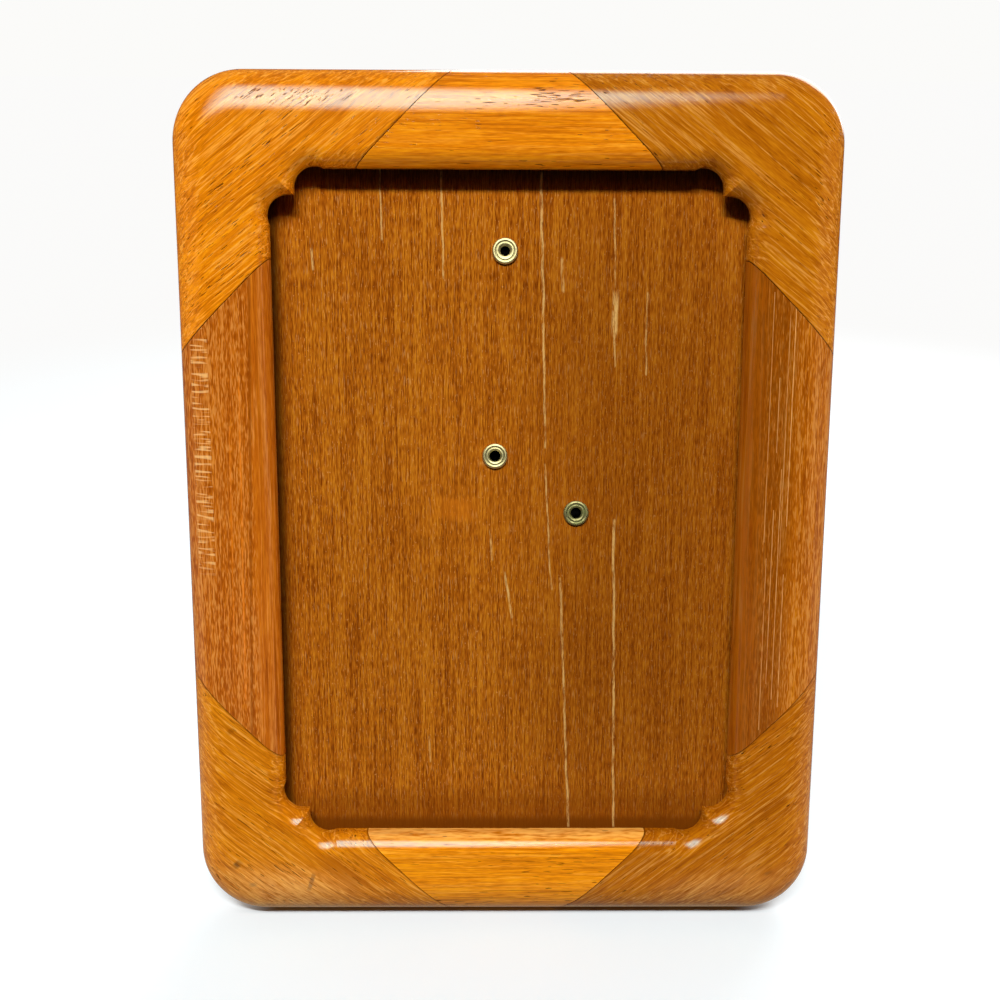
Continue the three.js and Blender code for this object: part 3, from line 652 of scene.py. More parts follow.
def varnished_wood(name, tone, slope, seed, pores, figure, flecks=0.0, rungs=None, marks=(), torn=None):
    """Open-grained hardwood under gloss varnish: bands, streaks, figure lines and short dark pores.

    Flecks are a pale and dark grit, and rungs a ladder of pale rays between two corners. Each mark is a
    colour, a share and a stroke, and torn is a stroke where pores crowd. A stroke is a start, an end and a
    width in millimetres on the frame's face.
    """
    p = Paint(name, tone)
    grain = p.space(grain_of(slope, seed))
    place = p.space(leaned().inverted())
    x, y, z = p.apart(place)
    front = y.ramp(10.0, 8.5)
    bare = finishes().bare
    light, dark = shade(tone, 1.75, 0.78), shade(tone, 0.42, 1.3)

    def paler(share):
        """The light tone with a share of bare wood in it."""
        return tuple(0.75 * a + share * b for a, b in zip(light, bare))

    def drawn(along, across, **settings):
        """Noise drawn out along the grain."""
        return p.noise(p.scaled(grain, along, 0.4 * across, across), **settings)

    def thin(level):
        """A mask for the lines where a level crosses 0."""
        return level.size().ramp(0.2, 0.04)

    bands = drawn(0.03, 0.42, detail=2.0, roughness=0.6, distortion=0.5)
    streaks = drawn(0.08, 1.5, detail=3.0, roughness=0.75)
    hairs = drawn(0.3, 3.0, detail=1.0, roughness=0.65)
    level = drawn(0.012, 0.09, detail=1.0) * 0.16 + bands * 0.3 + streaks * 0.6 + hairs * 0.42
    p.vary(level, light, dark)
    lines = drawn(0.016, 0.9, detail=1.0)
    p.lay(thin(lines) * (streaks * 0.6 + hairs * 0.4 + 0.5).held() * figure, paler(0.2))
    p.lay(thin(lines + 0.5) * (streaks * -0.6 + hairs * 0.4 + 0.4).held(), dark)
    if flecks:
        grit = drawn(0.42, 3.0, detail=1.0, roughness=0.7) + drawn(0.02, 1.1) * 0.35
        grit = grit * x.size().ramp(60.0, 62.5)
        p.lay(grit.ramp(0.0, 0.6) * flecks, paler(0.16))
        p.lay((-grit).ramp(0.0, 0.6) * flecks, dark)
    if rungs:
        (left, low), (right, high) = rungs
        rays = p.noise(p.scaled(place, 0.12, 0.0, 1.1), detail=1.0).ramp(0.05, 0.5)
        within = (x.ramp(left - 0.4, left + 0.2) * x.ramp(right + 0.4, right - 0.2)
                  * z.ramp(low - 6.0, low) * z.ramp(high + 6.0, high))
        p.lay(rays * within * front * 0.55, bare)
    if marks:
        ragged = (streaks * 0.6 + hairs * 0.6 + 0.75).held()
        for finish, share, *stroke in marks:
            p.lay(p.stroke(x, z, *stroke) * front * ragged * share, finish)
    crowd = drawn(0.03, 0.16, detail=1.0) * 0.4
    if torn:
        crowd = crowd + p.stroke(x, z, *torn) * 0.55
    pore = (drawn(0.34, 4.2, detail=0.0) + crowd).ramp(1.1 - 0.25 * pores, 1.3 - 0.25 * pores)
    p.cover(pore * 0.85, shade(tone, 0.1, 1.3))
    return p.finish(Roughness=0.12 + hairs * 0.01, Specular_IOR_Level=0.3,
                    Normal=p.relief(hairs * 0.02 + streaks * 0.03 - pore * 0.5, 0.4, 0.12 * MM))


def wood_piece(name, shell, material):
    """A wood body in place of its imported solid."""
    dress(shell.piece(name + "_wood", leaned()), [name], "frame", WOOD_LIGHT, material)


class PICTURE_FRAME_OT_rails(bpy.types.Operator):
    """Builds the four straight rails"""
    bl_idname = "picture_frame.rails"
    bl_label = "Rails"

    def execute(self, context):
        f = finishes()
        no_pores = -2.5
        red, pale = shade(f.left_rail, 0.4, 1.2), shade(f.left_rail, 2.0, 0.9)
        left_marks = [(red, 0.8, (-63.8, 48.0), (-60.8, 163.0), 0.5),
                      (pale, 0.5, (-65.0, 60.0), (-64.0, 140.0), 0.35),
                      (pale, 0.4, (-67.4, 70.0), (-66.6, 128.0), 0.3)]
        ladder = ((-75.7, 96.0), (-71.4, 150.0))
        # Painted highlight: a pale band along the bottom rail's sight edge, where the varnish would mirror
        # light
        painted_lip_highlight = [(shade(f.bare, 0.95, 1.35), 0.5, (-46.0, 22.7), (46.0, 22.7), 1.4)]
        right_marks = [(shade(f.right_rail, 0.36, 1.2), 0.85, (62.5, 30.0), (62.5, 180.0), 8.5)]
        for share, x, low, high in (
                (0.6, 67.7, 104.0, 166.0), (0.5, 67.5, 58.0, 92.0), (0.4, 66.4, 96.0, 154.0),
                (0.5, 65.9, 60.0, 118.0), (0.45, 64.5, 122.0, 140.0), (0.5, 64.4, 64.0, 108.0),
                (0.4, 63.1, 52.0, 96.0), (0.4, 62.4, 100.0, 160.0)):
            right_marks.append((shade(f.bare, 0.85, 1.25), share, (x, low), (x, high), 0.14))
        for name, right, up, look in (
                ("top_rail", 0, 1, {"pores": 0.2, "figure": 0.3,
                                    "torn": ((4.0, 203.2), (21.0, 203.2), 3.2)}),
                ("bottom_rail", 0, -1, {"pores": 0.0, "figure": 0.4, "marks": painted_lip_highlight}),
                ("left_rail", -1, 0, {"pores": no_pores, "figure": 0.6, "flecks": 0.75, "rungs": ladder,
                                      "marks": left_marks}),
                ("right_rail", 1, 0, {"pores": no_pores, "figure": 0.6, "flecks": 0.6,
                                      "marks": right_marks})):
            paint = varnished_wood(name.replace("_", " "), getattr(f, name),
                                   slope=RIGHT_ANGLE if right else 0.0, seed=3 + right + 2 * up, **look)
            wood_piece(name, straight_rail(right, up), paint)
        return {"FINISHED"}


class PICTURE_FRAME_OT_corner_blocks(bpy.types.Operator):
    """Builds the four corner blocks with their stepped inner edges"""
    bl_idname = "picture_frame.corner_blocks"
    bl_label = "Corner blocks"

    def execute(self, context):
        s, f = sizes(), finishes()
        grain = math.radians(-38)
        knot = shade(f.bottom_left, 0.12, 1.3)
        marks = {
            "top_left": [(knot, 0.6, (-34.2, 190.0), (-25.0, 199.2), 0.5)],
            "bottom_left": [(knot, 0.95, (-69.4, 15.2), (-68.0, 16.4), 1.2),
                            (knot, 0.5, (-65.6, 10.0), (-64.0, 10.6), 0.8),
                            (shade(f.bottom_left, 0.2, 1.5), 0.9, (-49.2, 13.2), (-50.6, 8.7), 0.75),
                            (knot, 0.6, (-69.6, 51.2), (-68.4, 52.0), 0.9),
                            (shade(f.bottom_left, 0.45, 1.25), 0.6, (-47.0, 17.5), (-37.0, 10.0), 3.0),
                            (f.bare, 0.3, (-68.0, 8.0), (-44.0, 5.0), 11.0)],
            "top_right": [(knot, 0.6, (71.2, 196.5), (72.0, 195.8), 0.6)],
            "bottom_right": [(knot, 0.6, (66.2, 13.0), (68.2, 13.8), 0.7),
                             (f.bare, 0.15, (68.0, 8.0), (44.0, 5.0), 10.0)],
        }
        torn = {"top_left": ((-62.0, 203.8), (-36.0, 203.8), 3.0)}
        for level, up in LEVELS.items():
            for side, right in SIDES.items():
                name = f"{level}_{side}"
                tone = getattr(f, name)
                glue = [((s.width / 2 - near) / MM * right,
                         (s.height / 2 + up * (s.height / 2 - s.block_leg + near)) / MM)
                        for near in (s.block_leg, 0.0)]
                marks[name].append((shade(tone, 0.25, 1.3), 0.7, *glue, 0.4))
                paint = varnished_wood(name.replace("_", " ") + " block", tone,
                                       slope=grain * right * up, seed=9 + 2 * right + 5 * up,
                                       pores=0.1, figure=0.9, marks=marks[name], torn=torn.get(name))
                wood_piece(name + "_corner_block", corner_block(right, up), paint)
        return {"FINISHED"}


# Plywood

PLIES = 3
PLYWOOD_MM = 4.0


def plywood(name, tone, matrix, front_mm, scratches=(), stains_and_shade=()):
    """Stained plywood: fine upright fibres, rubbed pale scratches, ply lines on its edges, and painted
    shade where it is given.

    The matrix leads into the sheet's own axes, with Y through its plies from its front. Each stain or
    painted shade is a colour, a share and a stroke, and each scratch a share and a stroke, in millimetres
    on the front.
    """
    p = Paint(name, tone)
    g = p.space(matrix)
    x, y, z = p.apart(g)
    bare = finishes().bare
    broad = p.noise(p.scaled(g, 0.035, 0.05, 0.012), detail=2.0)
    bands = p.noise(p.scaled(g, 0.30, 0.3, 0.012), detail=2.0, roughness=0.6)
    fibres = p.noise(p.scaled(g, 2.3, 2.3, 0.06), detail=2.0, roughness=0.7)
    threads = p.noise(p.scaled(g, 4.0, 4.0, 0.4), detail=1.0, roughness=0.65)
    level = broad * 0.14 + bands * 0.22 + fibres * 0.95 + threads * 1.15
    p.vary(level, shade(tone, 1.9, 0.75), shade(tone, 0.36, 1.3))
    long_flecks = p.noise(p.scaled(g, 3.4, 3.4, 0.3), detail=1.0).ramp(0.4, 1.0)
    short_flecks = p.noise(p.scaled(g, 3.2, 3.2, 1.3), detail=0.0).ramp(0.85, 1.2)
    p.lay(long_flecks.top(short_flecks) * 0.42, shade(bare, 0.8, 1.25))
    front = y.ramp(front_mm + 0.5, front_mm + 0.1)
    # Stains, and painted shade and shadow, on the front
    for finish, share, *stroke in stains_and_shade:
        p.lay(p.stroke(x, z, *stroke) * front * share, finish)
    if scratches:
        wander = p.noise(p.scaled(g, 0.0, 0.0, 0.09), detail=3.0) * 0.32
        broken = p.noise(p.scaled(g, 1.8, 1.8, 0.22), detail=3.0, roughness=0.8).ramp(-0.65, 0.4)
        for share, *stroke in scratches:
            p.lay(p.stroke(x + wander, z, *stroke) * broken * front * share, shade(bare, 1.0, 1.15))
    plies = p.node("Math", {"operation": "PINGPONG"}, (y - front_mm) * (PLIES / PLYWOOD_MM), 1.0)
    facing = p.apart(p.node("VectorRotate", {"rotation_type": "EULER_XYZ"},
                            Vector=p.node("NewGeometry", output="Normal"), Rotation=matrix.to_euler()))[1]
    side = facing.size().ramp(0.6, 0.3)
    p.lay(side * plies.ramp(0.35, 0.65) * 0.75, shade(tone, 0.3, 1.05))
    return p.finish(Roughness=0.55 + fibres * 0.04, Specular_IOR_Level=0.1,
                    Normal=p.relief(fibres * 0.5 + threads * 0.4, 0.35, 0.1 * MM))


def settled(item, sharp):
    """The item with its modifiers made part of a plain mesh, smooth up to an angle in degrees."""
    bpy.context.view_layer.update()
    mesh = bpy.data.meshes.new_from_object(item.evaluated_get(bpy.context.evaluated_depsgraph_get()))
    item.modifiers.clear()
    item.data = mesh
    mesh.shade_smooth()
    mesh.set_sharp_from_angle(angle=math.radians(sharp))
    return item


def eased_copy(node, width, segments=2, sharp=35):
    """A copy of a node with its stamped or sawn edges eased."""
    mesh = NODES[node].data.copy()
    work = bmesh.new()
    work.from_mesh(mesh)
    bmesh.ops.remove_doubles(work, verts=work.verts, dist=1e-6)
    bmesh.ops.dissolve_limit(work, angle_limit=math.radians(0.5), verts=work.verts, edges=work.edges)
    work.to_mesh(mesh)
    work.free()
    item = new_object(node + "_eased", mesh)
    bevel = item.modifiers.new("Eased edges", "BEVEL")
    bevel.limit_method = "ANGLE"
    bevel.angle_limit = math.radians(sharp)
    bevel.width = width
    bevel.segments = segments
    bevel.use_clamp_overlap = True
    return settled(item, sharp)


class PICTURE_FRAME_OT_panel(bpy.types.Operator):
    """Finishes the plywood back panel"""
    bl_idname = "picture_frame.panel"
    bl_label = "Back panel"

    def execute(self, context):
        tone = finishes().panel
        front_mm = 8.5
        scratches = (
            (0.7, (-30.8, 190.0), (-30.4, 172.0), 0.3), (0.8, (-16.2, 188.0), (-15.7, 163.0), 0.34),
            (0.9, (-47.5, 170.0), (-47.0, 165.0), 0.4), (0.9, (7.6, 188.0), (8.8, 140.0), 0.44),
            (0.8, (8.8, 140.0), (9.2, 122.0), 0.36), (0.7, (9.2, 118.0), (11.2, 86.0), 0.32),
            (0.6, (25.2, 182.0), (25.8, 161.0), 0.3), (0.9, (25.8, 160.0), (25.9, 150.0), 1.0),
            (0.8, (-4.4, 101.5), (-3.6, 93.5), 0.36), (0.9, (-0.7, 90.5), (1.2, 78.5), 0.4),
            (0.8, (13.3, 89.0), (16.4, 22.0), 0.42), (0.8, (26.6, 104.0), (27.4, 60.0), 0.46),
            (0.8, (27.4, 62.0), (28.2, 22.0), 0.42), (0.6, (-20.0, 47.0), (-19.6, 40.0), 0.34),
            (0.6, (33.5, 160.0), (33.8, 140.0), 0.3), (0.6, (12.8, 168.0), (13.1, 160.0), 0.5),
            (0.7, (25.9, 150.0), (26.1, 142.0), 0.36),
        )
        dark, shadow_black, rubbed = shade(tone, 0.36, 1.12), shade(tone, 0.05), shade(tone, 1.7, 0.95)
        stains_and_shade = (
            # A darker band along the panel's bottom edge
            (dark, 0.85, (-58.0, 22.6), (58.0, 22.6), 3.6),
            (rubbed, 0.45, (-17.0, 106.5), (-8.0, 106.5), 4.0),
            (dark, 0.35, (-22.0, 99.0), (-20.0, 97.5), 2.0),
            # Darker towards the right
            (dark, 0.42, (38.0, 20.0), (40.0, 190.0), 50.0),
            # Painted shade beside the left rail and along the bottom rail
            (dark, 0.5, (-58.0, 20.0), (-58.0, 190.0), 7.0),
            (dark, 0.5, (-58.0, 24.0), (58.0, 24.0), 12.0),
            # Painted shadow under the top rail, in the two top notches and in the gap along the left rail
            (shadow_black, 0.7, (-58.0, 189.0), (58.0, 189.0), 6.5),
            (shadow_black, 0.9, (-55.6, 181.8), (-54.4, 178.6), 4.4),
            (shadow_black, 0.9, (55.6, 181.8), (54.4, 178.6), 4.4),
            (shadow_black, 0.6, (-57.4, 20.0), (-57.4, 190.0), 3.0),
            (rubbed, 0.15, (-4.0, 98.0), (0.0, 128.0), 36.0),
        )
        materials = NODES["back_panel"].data.materials
        materials.clear()
        materials.append(plywood("panel plywood", tone, leaned().inverted(), front_mm, scratches, stains_and_shade))
        return {"FINISHED"}


def largest_face_normal(item):
    """The normal of an item's largest flat side, turned towards the back."""
    totals = {}
    for polygon in item.data.polygons:
        key = tuple(round(c, 3) for c in polygon.normal)
        totals[key] = totals.get(key, 0.0) + polygon.area
    normal = Vector(max(totals, key=totals.get)).normalized()
    return normal if normal.y > 0 else -normal


class PICTURE_FRAME_OT_easel_leg(bpy.types.Operator):
    """Builds the plywood easel leg"""
    bl_idname = "picture_frame.easel_leg"
    bl_label = "Easel leg"

    def execute(self, context):
        hinge = joint("easel_leg_hinge")
        along = Vector(hinge["axis"]).normalized()
        face = largest_face_normal(NODES["easel_leg"])
        basis = Matrix((along, face, face.cross(along).normalized())).to_4x4()
        matrix = basis @ Matrix.Translation(-Vector(hinge["pos_m"]))
        front_mm = min((matrix @ v.co).y for v in NODES["easel_leg"].data.vertices) / MM
        paint = plywood("leg plywood", finishes().leg, matrix, front_mm)
        sawn_edge = 0.45 * MM
        dress(eased_copy("easel_leg", sawn_edge), ["easel_leg"], "easel_leg", None, paint)
        return {"FINISHED"}


# Brass

def worn_brass(name, tone, tarnish, scale=1.0, green=0.25, mouth=None):
    """Brass with cloudy tarnish, fine scratches, dirt in the groove of a rivet's mouth, and its bore
    painted black as shade.
    """
    p = Paint(name, tone)
    g = p.scaled(p.node("TexCoord", output="Object"), 1 / MM, 1 / MM, 1 / MM)
    cloud = p.noise(g, 0.5 * scale, detail=4.0, roughness=0.6)
    spots = p.noise(g, 2.2 * scale, detail=3.0, roughness=0.65)
    lines = p.noise(p.scaled(g, 0.6, 5.0, 5.0), detail=2.0)
    dull = (cloud.ramp(0.5 - tarnish, 1.2 - tarnish) * 0.7 + spots.ramp(0.2, 1.0) * 0.45).held()
    p.lay(lines.ramp(0.0, 1.0) * 0.35, shade(tone, 0.72))
    olive = (tone[0] * 0.38, tone[1] * (0.40 + 0.12 * green), tone[2] * 0.26)
    p.lay(dull * (0.3 + 0.6 * tarnish), olive)
    if mouth:
        q = p.space(mouth)
        depth = p.apart(q)[1]
        out = p.distance(p.scaled(q, 1.0, 0.0, 1.0))
        groove = out.ramp(1.95, 2.1) * out.ramp(2.4, 2.25) * depth.ramp(0.6, 0.3)
        # Painted shade: the bore is laid black, as the inside of a blind hole in shade
        bore = out.ramp(1.36, 1.32) * depth.ramp(0.05, 0.35) * depth.ramp(5.0, 4.5)
        p.lay(groove * 0.45, shade(olive, 0.5))
        p.lay(bore, BLACK)
    return p.finish(Roughness=0.38 + dull * 0.3 + lines * 0.03, Metallic=1.0 - dull * 0.4,
                    Normal=p.relief(spots * 0.5 + lines * 0.5, 0.12, 0.03 * MM))


class PICTURE_FRAME_OT_hinge(bpy.types.Operator):
    """Builds the hinge leaves and the pin"""
    bl_idname = "picture_frame.hinge"
    bl_label = "Hinge"

    def execute(self, context):
        plate = worn_brass("hinge plate", finishes().plate, tarnish=0.45)
        edge = fittings().edge
        for node, body in (("hinge_panel_leaf", "frame"), ("hinge_leg_leaf", "easel_leg"),
                           ("hinge_pin", "frame")):
            dress(eased_copy(node, edge), [node], body, METAL_LIGHT, plate)
        return {"FINISHED"}


def add_node(tree, kind, **links):
    """Adds a Geometry Nodes node and links its named inputs."""
    node = tree.nodes.new("GeometryNode" + kind)
    for name, source in links.items():
        tree.links.new(source, node.inputs[name.replace("_", " ")])
    return node


def grown(item, tree_name, inputs, build, sharp):
    """Runs an item through a node tree and leaves a plain mesh.

    Each input is a name, a socket's kind and a value. The build function adds the tree's own nodes between
    its inputs and the result, which is realised and set in the Finish input's material.
    """
    tree = bpy.data.node_groups.new(tree_name, "GeometryNodeTree")
    tree.interface.new_socket("Geometry", in_out="INPUT", socket_type="NodeSocketGeometry")
    tree.interface.new_socket("Geometry", in_out="OUTPUT", socket_type="NodeSocketGeometry")
    values = {}
    for name, kind, value in inputs:
        socket = tree.interface.new_socket(name, in_out="INPUT", socket_type="NodeSocket" + kind)
        values[socket.identifier] = value
    given = tree.nodes.new("NodeGroupInput").outputs
    whole = add_node(tree, "RealizeInstances", Geometry=build(tree, given))
    paint = add_node(tree, "SetMaterial", Geometry=whole.outputs["Geometry"], Material=given["Finish"])
    tree.links.new(paint.outputs["Geometry"], tree.nodes.new("NodeGroupOutput").inputs["Geometry"])
    modifier = item.modifiers.new(tree_name, "NODES")
    modifier.node_group = tree
    for identifier, value in values.items():
        modifier[identifier] = value
    return settled(item, sharp)


def fitting_on_points(tree, given):
    """A fitting on every point, turned as the input says."""
    fitting = add_node(tree, "ObjectInfo", Object=given["Fitting"])
    copies = add_node(tree, "InstanceOnPoints", Points=given["Geometry"], Rotation=given["Turn"],
                      Instance=fitting.outputs["Geometry"])
    return copies.outputs["Instances"]


def wire_on_path(tree, given):
    """A closed round wire along the path."""
    path = add_node(tree, "MeshToCurve", Mesh=given["Geometry"])
    section = add_node(tree, "CurvePrimitiveCircle", Radius=given["Wire radius"])
    section.inputs["Resolution"].default_value = 16
    wire = add_node(tree, "CurveToMesh", Curve=path.outputs["Curve"],
                    Profile_Curve=section.outputs["Curve"])
    return wire.outputs["Mesh"]


def repeated(name, fitting_mesh, places, axis, material):
    """One plain mesh with a fitting at each place, its own Y turned along an axis."""
    fitting = new_object(name + "_pattern", fitting_mesh)
    points = bpy.data.meshes.new(name)
    points.from_pydata(places, [], [])
    turn = DEPTH_AXIS.rotation_difference(axis).to_euler()
    inputs = (("Fitting", "Object", fitting), ("Turn", "Rotation", turn), ("Finish", "Material", material))
    item = grown(new_object(name, points), name, inputs, fitting_on_points, sharp=50)
    bpy.data.objects.remove(fitting)
    return item


def lathe(name, profile, count=48):
    """A turned shape about Y from (radius, depth) pairs that start and end on the axis."""
    shape = bmesh.new()
    rings = []
    for radius, depth in profile:
        if radius < 1e-9:
            rings.append([shape.verts.new((0, depth, 0))])
        else:
            rings.append([shape.verts.new((radius * math.cos(t), depth, radius * math.sin(t)))
                          for t in steps(0, 2 * math.pi, count)[:-1]])
    for first, second in zip(rings, rings[1:]):
        for k in range(count):
            corners = []
            for ring, step in ((first, k), (first, k + 1), (second, k + 1), (second, k)):
                vertex = ring[step % len(ring)]
                if vertex not in corners:
                    corners.append(vertex)
            if len(corners) > 2:
                shape.faces.new(corners)
    bmesh.ops.recalc_face_normals(shape, faces=shape.faces)
    mesh = bpy.data.meshes.new(name)
    shape.to_mesh(mesh)
    shape.free()
    mesh.shade_smooth()
    mesh.set_sharp_from_angle(angle=math.radians(50))
    return mesh


def rivet_profile(grip, bore):
    """A semi-tubular rivet's section: blind bore, rolled mouth, shank and domed head."""
    t = fittings()
    rise, shank = t.flange_height, t.bore + 0.5 * MM
    lip, groove, crown = t.bore + 0.5 * MM, t.bore + 0.85 * MM, t.flange - 0.5 * MM
    mouth = [(0.0, t.bore_depth), (bore, t.bore_depth), (bore, 0.3 * rise),
             (bore + 0.05 * MM, -0.1 * rise), (bore + 0.18 * MM, -0.45 * rise),
             (t.bore + 0.34 * MM, -0.64 * rise), (lip, -0.76 * rise), (groove - 0.1 * MM, -0.8 * rise),
             (groove, -0.66 * rise), (groove + 0.14 * MM, -0.66 * rise),
             (groove + 0.24 * MM, -0.84 * rise), (crown, -0.95 * rise),
             (t.flange - 0.2 * MM, -0.8 * rise), (t.flange, -0.4 * rise), (t.flange, 0.0), (shank, 0.0)]
    brim = 0.3 * t.head_height
    head = [(t.flange * math.cos(a), grip + brim + (t.head_height - brim) * math.sin(a))
            for a in steps(0, RIGHT_ANGLE, 8)[:-1]]
    return mouth + [(shank, grip), (t.flange, grip)] + head + [(0.0, grip + t.head_height)]


def along_axis(node, axis):
    """The lowest and highest reach of a node along an axis."""
    reach = [v.co.dot(axis) for v in NODES[node].data.vertices]
    return min(reach), max(reach)


def on_axis(node, axis, reach):
    """The point at a reach along an axis, on the line through the middle of a node's box."""
    low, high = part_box(node)
    middle = (low + high) / 2
    return middle + axis * (reach - middle.dot(axis))


def seat(node, axis):
    """Where a rivet's rolled mouth lies on its sheet."""
    return on_axis(node, axis, along_axis(node, axis)[0] + fittings().flange_height)


def rivets(name, nodes, axis, body, material, bore):
    """Rivets in place of their nodes, all with the same grip."""
    low, high = along_axis(nodes[0], axis)
    grip = high - low - fittings().flange_height - fittings().head_height
    section = lathe(name + "_section", rivet_profile(grip, bore))
    item = repeated(name, section, [seat(node, axis) for node in nodes], axis, material)
    dress(item, nodes, body, METAL_LIGHT)


class PICTURE_FRAME_OT_rivets(bpy.types.Operator):
    """Builds the semi-tubular rivets of the panel and the leg"""
    bl_idname = "picture_frame.rivets"
    bl_label = "Rivets"

    def execute(self, context):
        f, back, wide = finishes(), backwards(), fittings().bore
        upright = leaned().to_3x3().inverted().to_4x4()
        for node, tone, tarnish, green, bore in (("hanger_rivet", f.brass, 0.2, 0.25, 0.85 * wide),
                                                 ("hinge_rivet_left", f.brass, 0.2, 0.25, wide),
                                                 ("hinge_rivet_right", f.aged, 0.75, 0.9, wide)):
            mouth = upright @ Matrix.Translation(-seat(node, back))
            brass = worn_brass(node.replace("_", " ") + " brass", tone, tarnish, 1.6, green, mouth)
            rivets(node + "_rolled", [node], back, "frame", brass, bore)
        plain = worn_brass("leg rivet brass", f.brass, tarnish=0.3, scale=1.6)
        leg = largest_face_normal(NODES["easel_leg"])
        rivets("leg_rivets_rolled", ["leg_rivet_left", "leg_rivet_right"], leg, "easel_leg", plain, wide)
        return {"FINISHED"}


def ring_path():
    """The hanging ring's centre line: a bar with round corners, drawn in towards its foot."""
    low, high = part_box("hanger_ring")
    wire, bend = fittings().wire, 2.4 * MM
    pivot = Vector(joint("hanger_ring_swing")["pos_m"])
    half, drop = (high.x - low.x) / 2 - wire, high.z - low.z - 2 * wire
    foot = half * 2 / 3
    corners = [Vector(c) for c in ((half, 0), (-half, 0), (-foot, -drop), (foot, -drop))]
    points = []
    for k, corner in enumerate(corners):
        before = (corners[k - 1] - corner).normalized() * bend
        after = (corners[(k + 1) % 4] - corner).normalized() * bend
        for t in steps(0, 1, 10):
            spot = corner + before * (1 - t) ** 2 + after * t ** 2
            points.append(pivot + Vector((spot.x, 0, spot.y)))
    return points


class PICTURE_FRAME_OT_hanger(bpy.types.Operator):
    """Builds the hanging ring and its strap"""
    bl_idname = "picture_frame.hanger"
    bl_label = "Hanger"

    def execute(self, context):
        t = fittings()
        plate = worn_brass("hanger plate", finishes().plate, tarnish=0.4)
        strap = eased_copy("hanger_strap", t.edge)
        dress(strap, ["hanger_strap"], "frame", METAL_LIGHT, plate)
        points = ring_path()
        mesh = bpy.data.meshes.new("hanger_ring_wire")
        mesh.from_pydata(points, [(k, (k + 1) % len(points)) for k in range(len(points))], [])
        inputs = (("Wire radius", "Float", t.wire), ("Finish", "Material", plate))
        ring = grown(new_object("hanger_ring_wire", mesh), "hanger wire", inputs, wire_on_path, sharp=60)
        dress(ring, ["hanger_ring"], "hanger_ring", METAL_LIGHT, plate)
        return {"FINISHED"}


class PICTURE_FRAME_OT_turn_buttons(bpy.types.Operator):
    """Builds the turn buttons that hold the panel"""
    bl_idname = "picture_frame.turn_buttons"
    bl_label = "Turn buttons"

    def execute(self, context):
        plate = worn_brass("turn button plate", finishes().plate, tarnish=0.4, scale=0.8)
        soft_edge = 0.28 * MM
        for place in BUTTONS:
            node = "turn_button_" + place
            dress(eased_copy(node, soft_edge, segments=3), [node], node, METAL_LIGHT, plate)
        return {"FINISHED"}


def screw_head():
    """A round screw head with a slot, its seat at the origin and its crown along Y."""
    t = fittings()
    neck, sunk, brim = 1.2 * MM, -0.6 * MM, 0.1 * MM
    profile = [(0.0, sunk), (neck, sunk), (neck, 0.0), (t.screw_head - 0.15 * MM, 0.0)]
    crown = t.screw_head - t.screw_rise
    profile += [(crown + t.screw_rise * math.cos(a), brim + (t.screw_rise - brim) * math.sin(a))
                for a in steps(0, RIGHT_ANGLE, 10)]
    profile.append((0.0, t.screw_rise))
    head = new_object("screw_head", lathe("screw_head", profile, count=40))
    blade = Matrix.Diagonal((t.slot, 2 * t.slot, 4 * t.screw_head, 1))
    tool = bmesh.new()
    bmesh.ops.create_cube(tool, size=1.0, matrix=Matrix.Translation((0, t.screw_rise, 0)) @ blade)
    mesh = bpy.data.meshes.new("slot")
    tool.to_mesh(mesh)
    tool.free()
    slot = new_object("slot", mesh)
    cut = head.modifiers.new("Slot", "BOOLEAN")
    cut.object = slot
    cut.solver = "EXACT"
    result = settled(head, sharp=40).data
    for item in (slot, head):
        bpy.data.objects.remove(item)
    return result


class PICTURE_FRAME_OT_screws(bpy.types.Operator):
    """Builds the screws of the turn buttons"""
    bl_idname = "picture_frame.screws"
    bl_label = "Screws"

    def execute(self, context):
        brass = worn_brass("screw brass", finishes().plate, tarnish=0.35, scale=1.2)
        back, rise = backwards(), fittings().screw_rise
        nodes = ["turn_button_screw_" + place for place in BUTTONS]
        places = [on_axis(node, back, along_axis(node, back)[1] - rise) for node in nodes]
        item = repeated("turn_button_screws_domed", screw_head(), places, back, brass)
        dress(item, nodes, "frame", METAL_LIGHT)
        return {"FINISHED"}


# Stage

FLOOR_REACH = 12.0
SENSOR_MM = 36.0
PAPER = (0.705, 0.775, 0.808)
PAPER_GLOW = (1.0, 0.995, 0.985)
PAPER_MIRRORED = (1.0, 0.74, 0.46)
ROOM = (1.0, 0.975, 0.94)
ROOM_MIRRORED = (1.0, 0.8, 0.56)
ROOM_SEEN = (0.967, 0.963, 0.946)


def lamp(name, place, aim, size, watts, group=None, hidden=()):
    """A rectangular lamp aimed at a point, kept to one group of pieces and hidden from some rays."""
    data = bpy.data.lights.new(name, "AREA")
    data.shape = "RECTANGLE"
    data.size, data.size_y = size
    data.energy = watts
    item = new_object(name, data)
    item.location = place
    item.rotation_euler = (Vector(aim) - Vector(place)).to_track_quat("-Z", "Y").to_euler()
    for kind in ("camera", *hidden):
        setattr(item, "visible_" + kind, False)
    if group:
        item.light_linking.receiver_collection = bpy.data.collections[group]
    return data


def mirrored_lamp(name, place, aim, size, brightness, group, left_fade=0.3, tint=(1.0, 1.0, 1.0)):
    """A lamp with soft edges that only shows as a reflection, and only in one group of pieces."""
    watts = brightness * math.pi * size[0] * size[1]
    data = lamp(name, place, aim, size, watts, group, ("diffuse", "transmission"))
    data.color = tint
    data.use_nodes = True
    n = Nodes(data.node_tree)
    across, along, _ = n.apart(n.node("TexCoord", output="UV"))
    soft = (across.ramp(0.0, left_fade) * across.ramp(1.0, 0.7)
            * along.ramp(0.0, 0.33) * along.ramp(1.0, 0.67))
    n.feed(n.tree.nodes["Emission"].inputs["Strength"], soft)


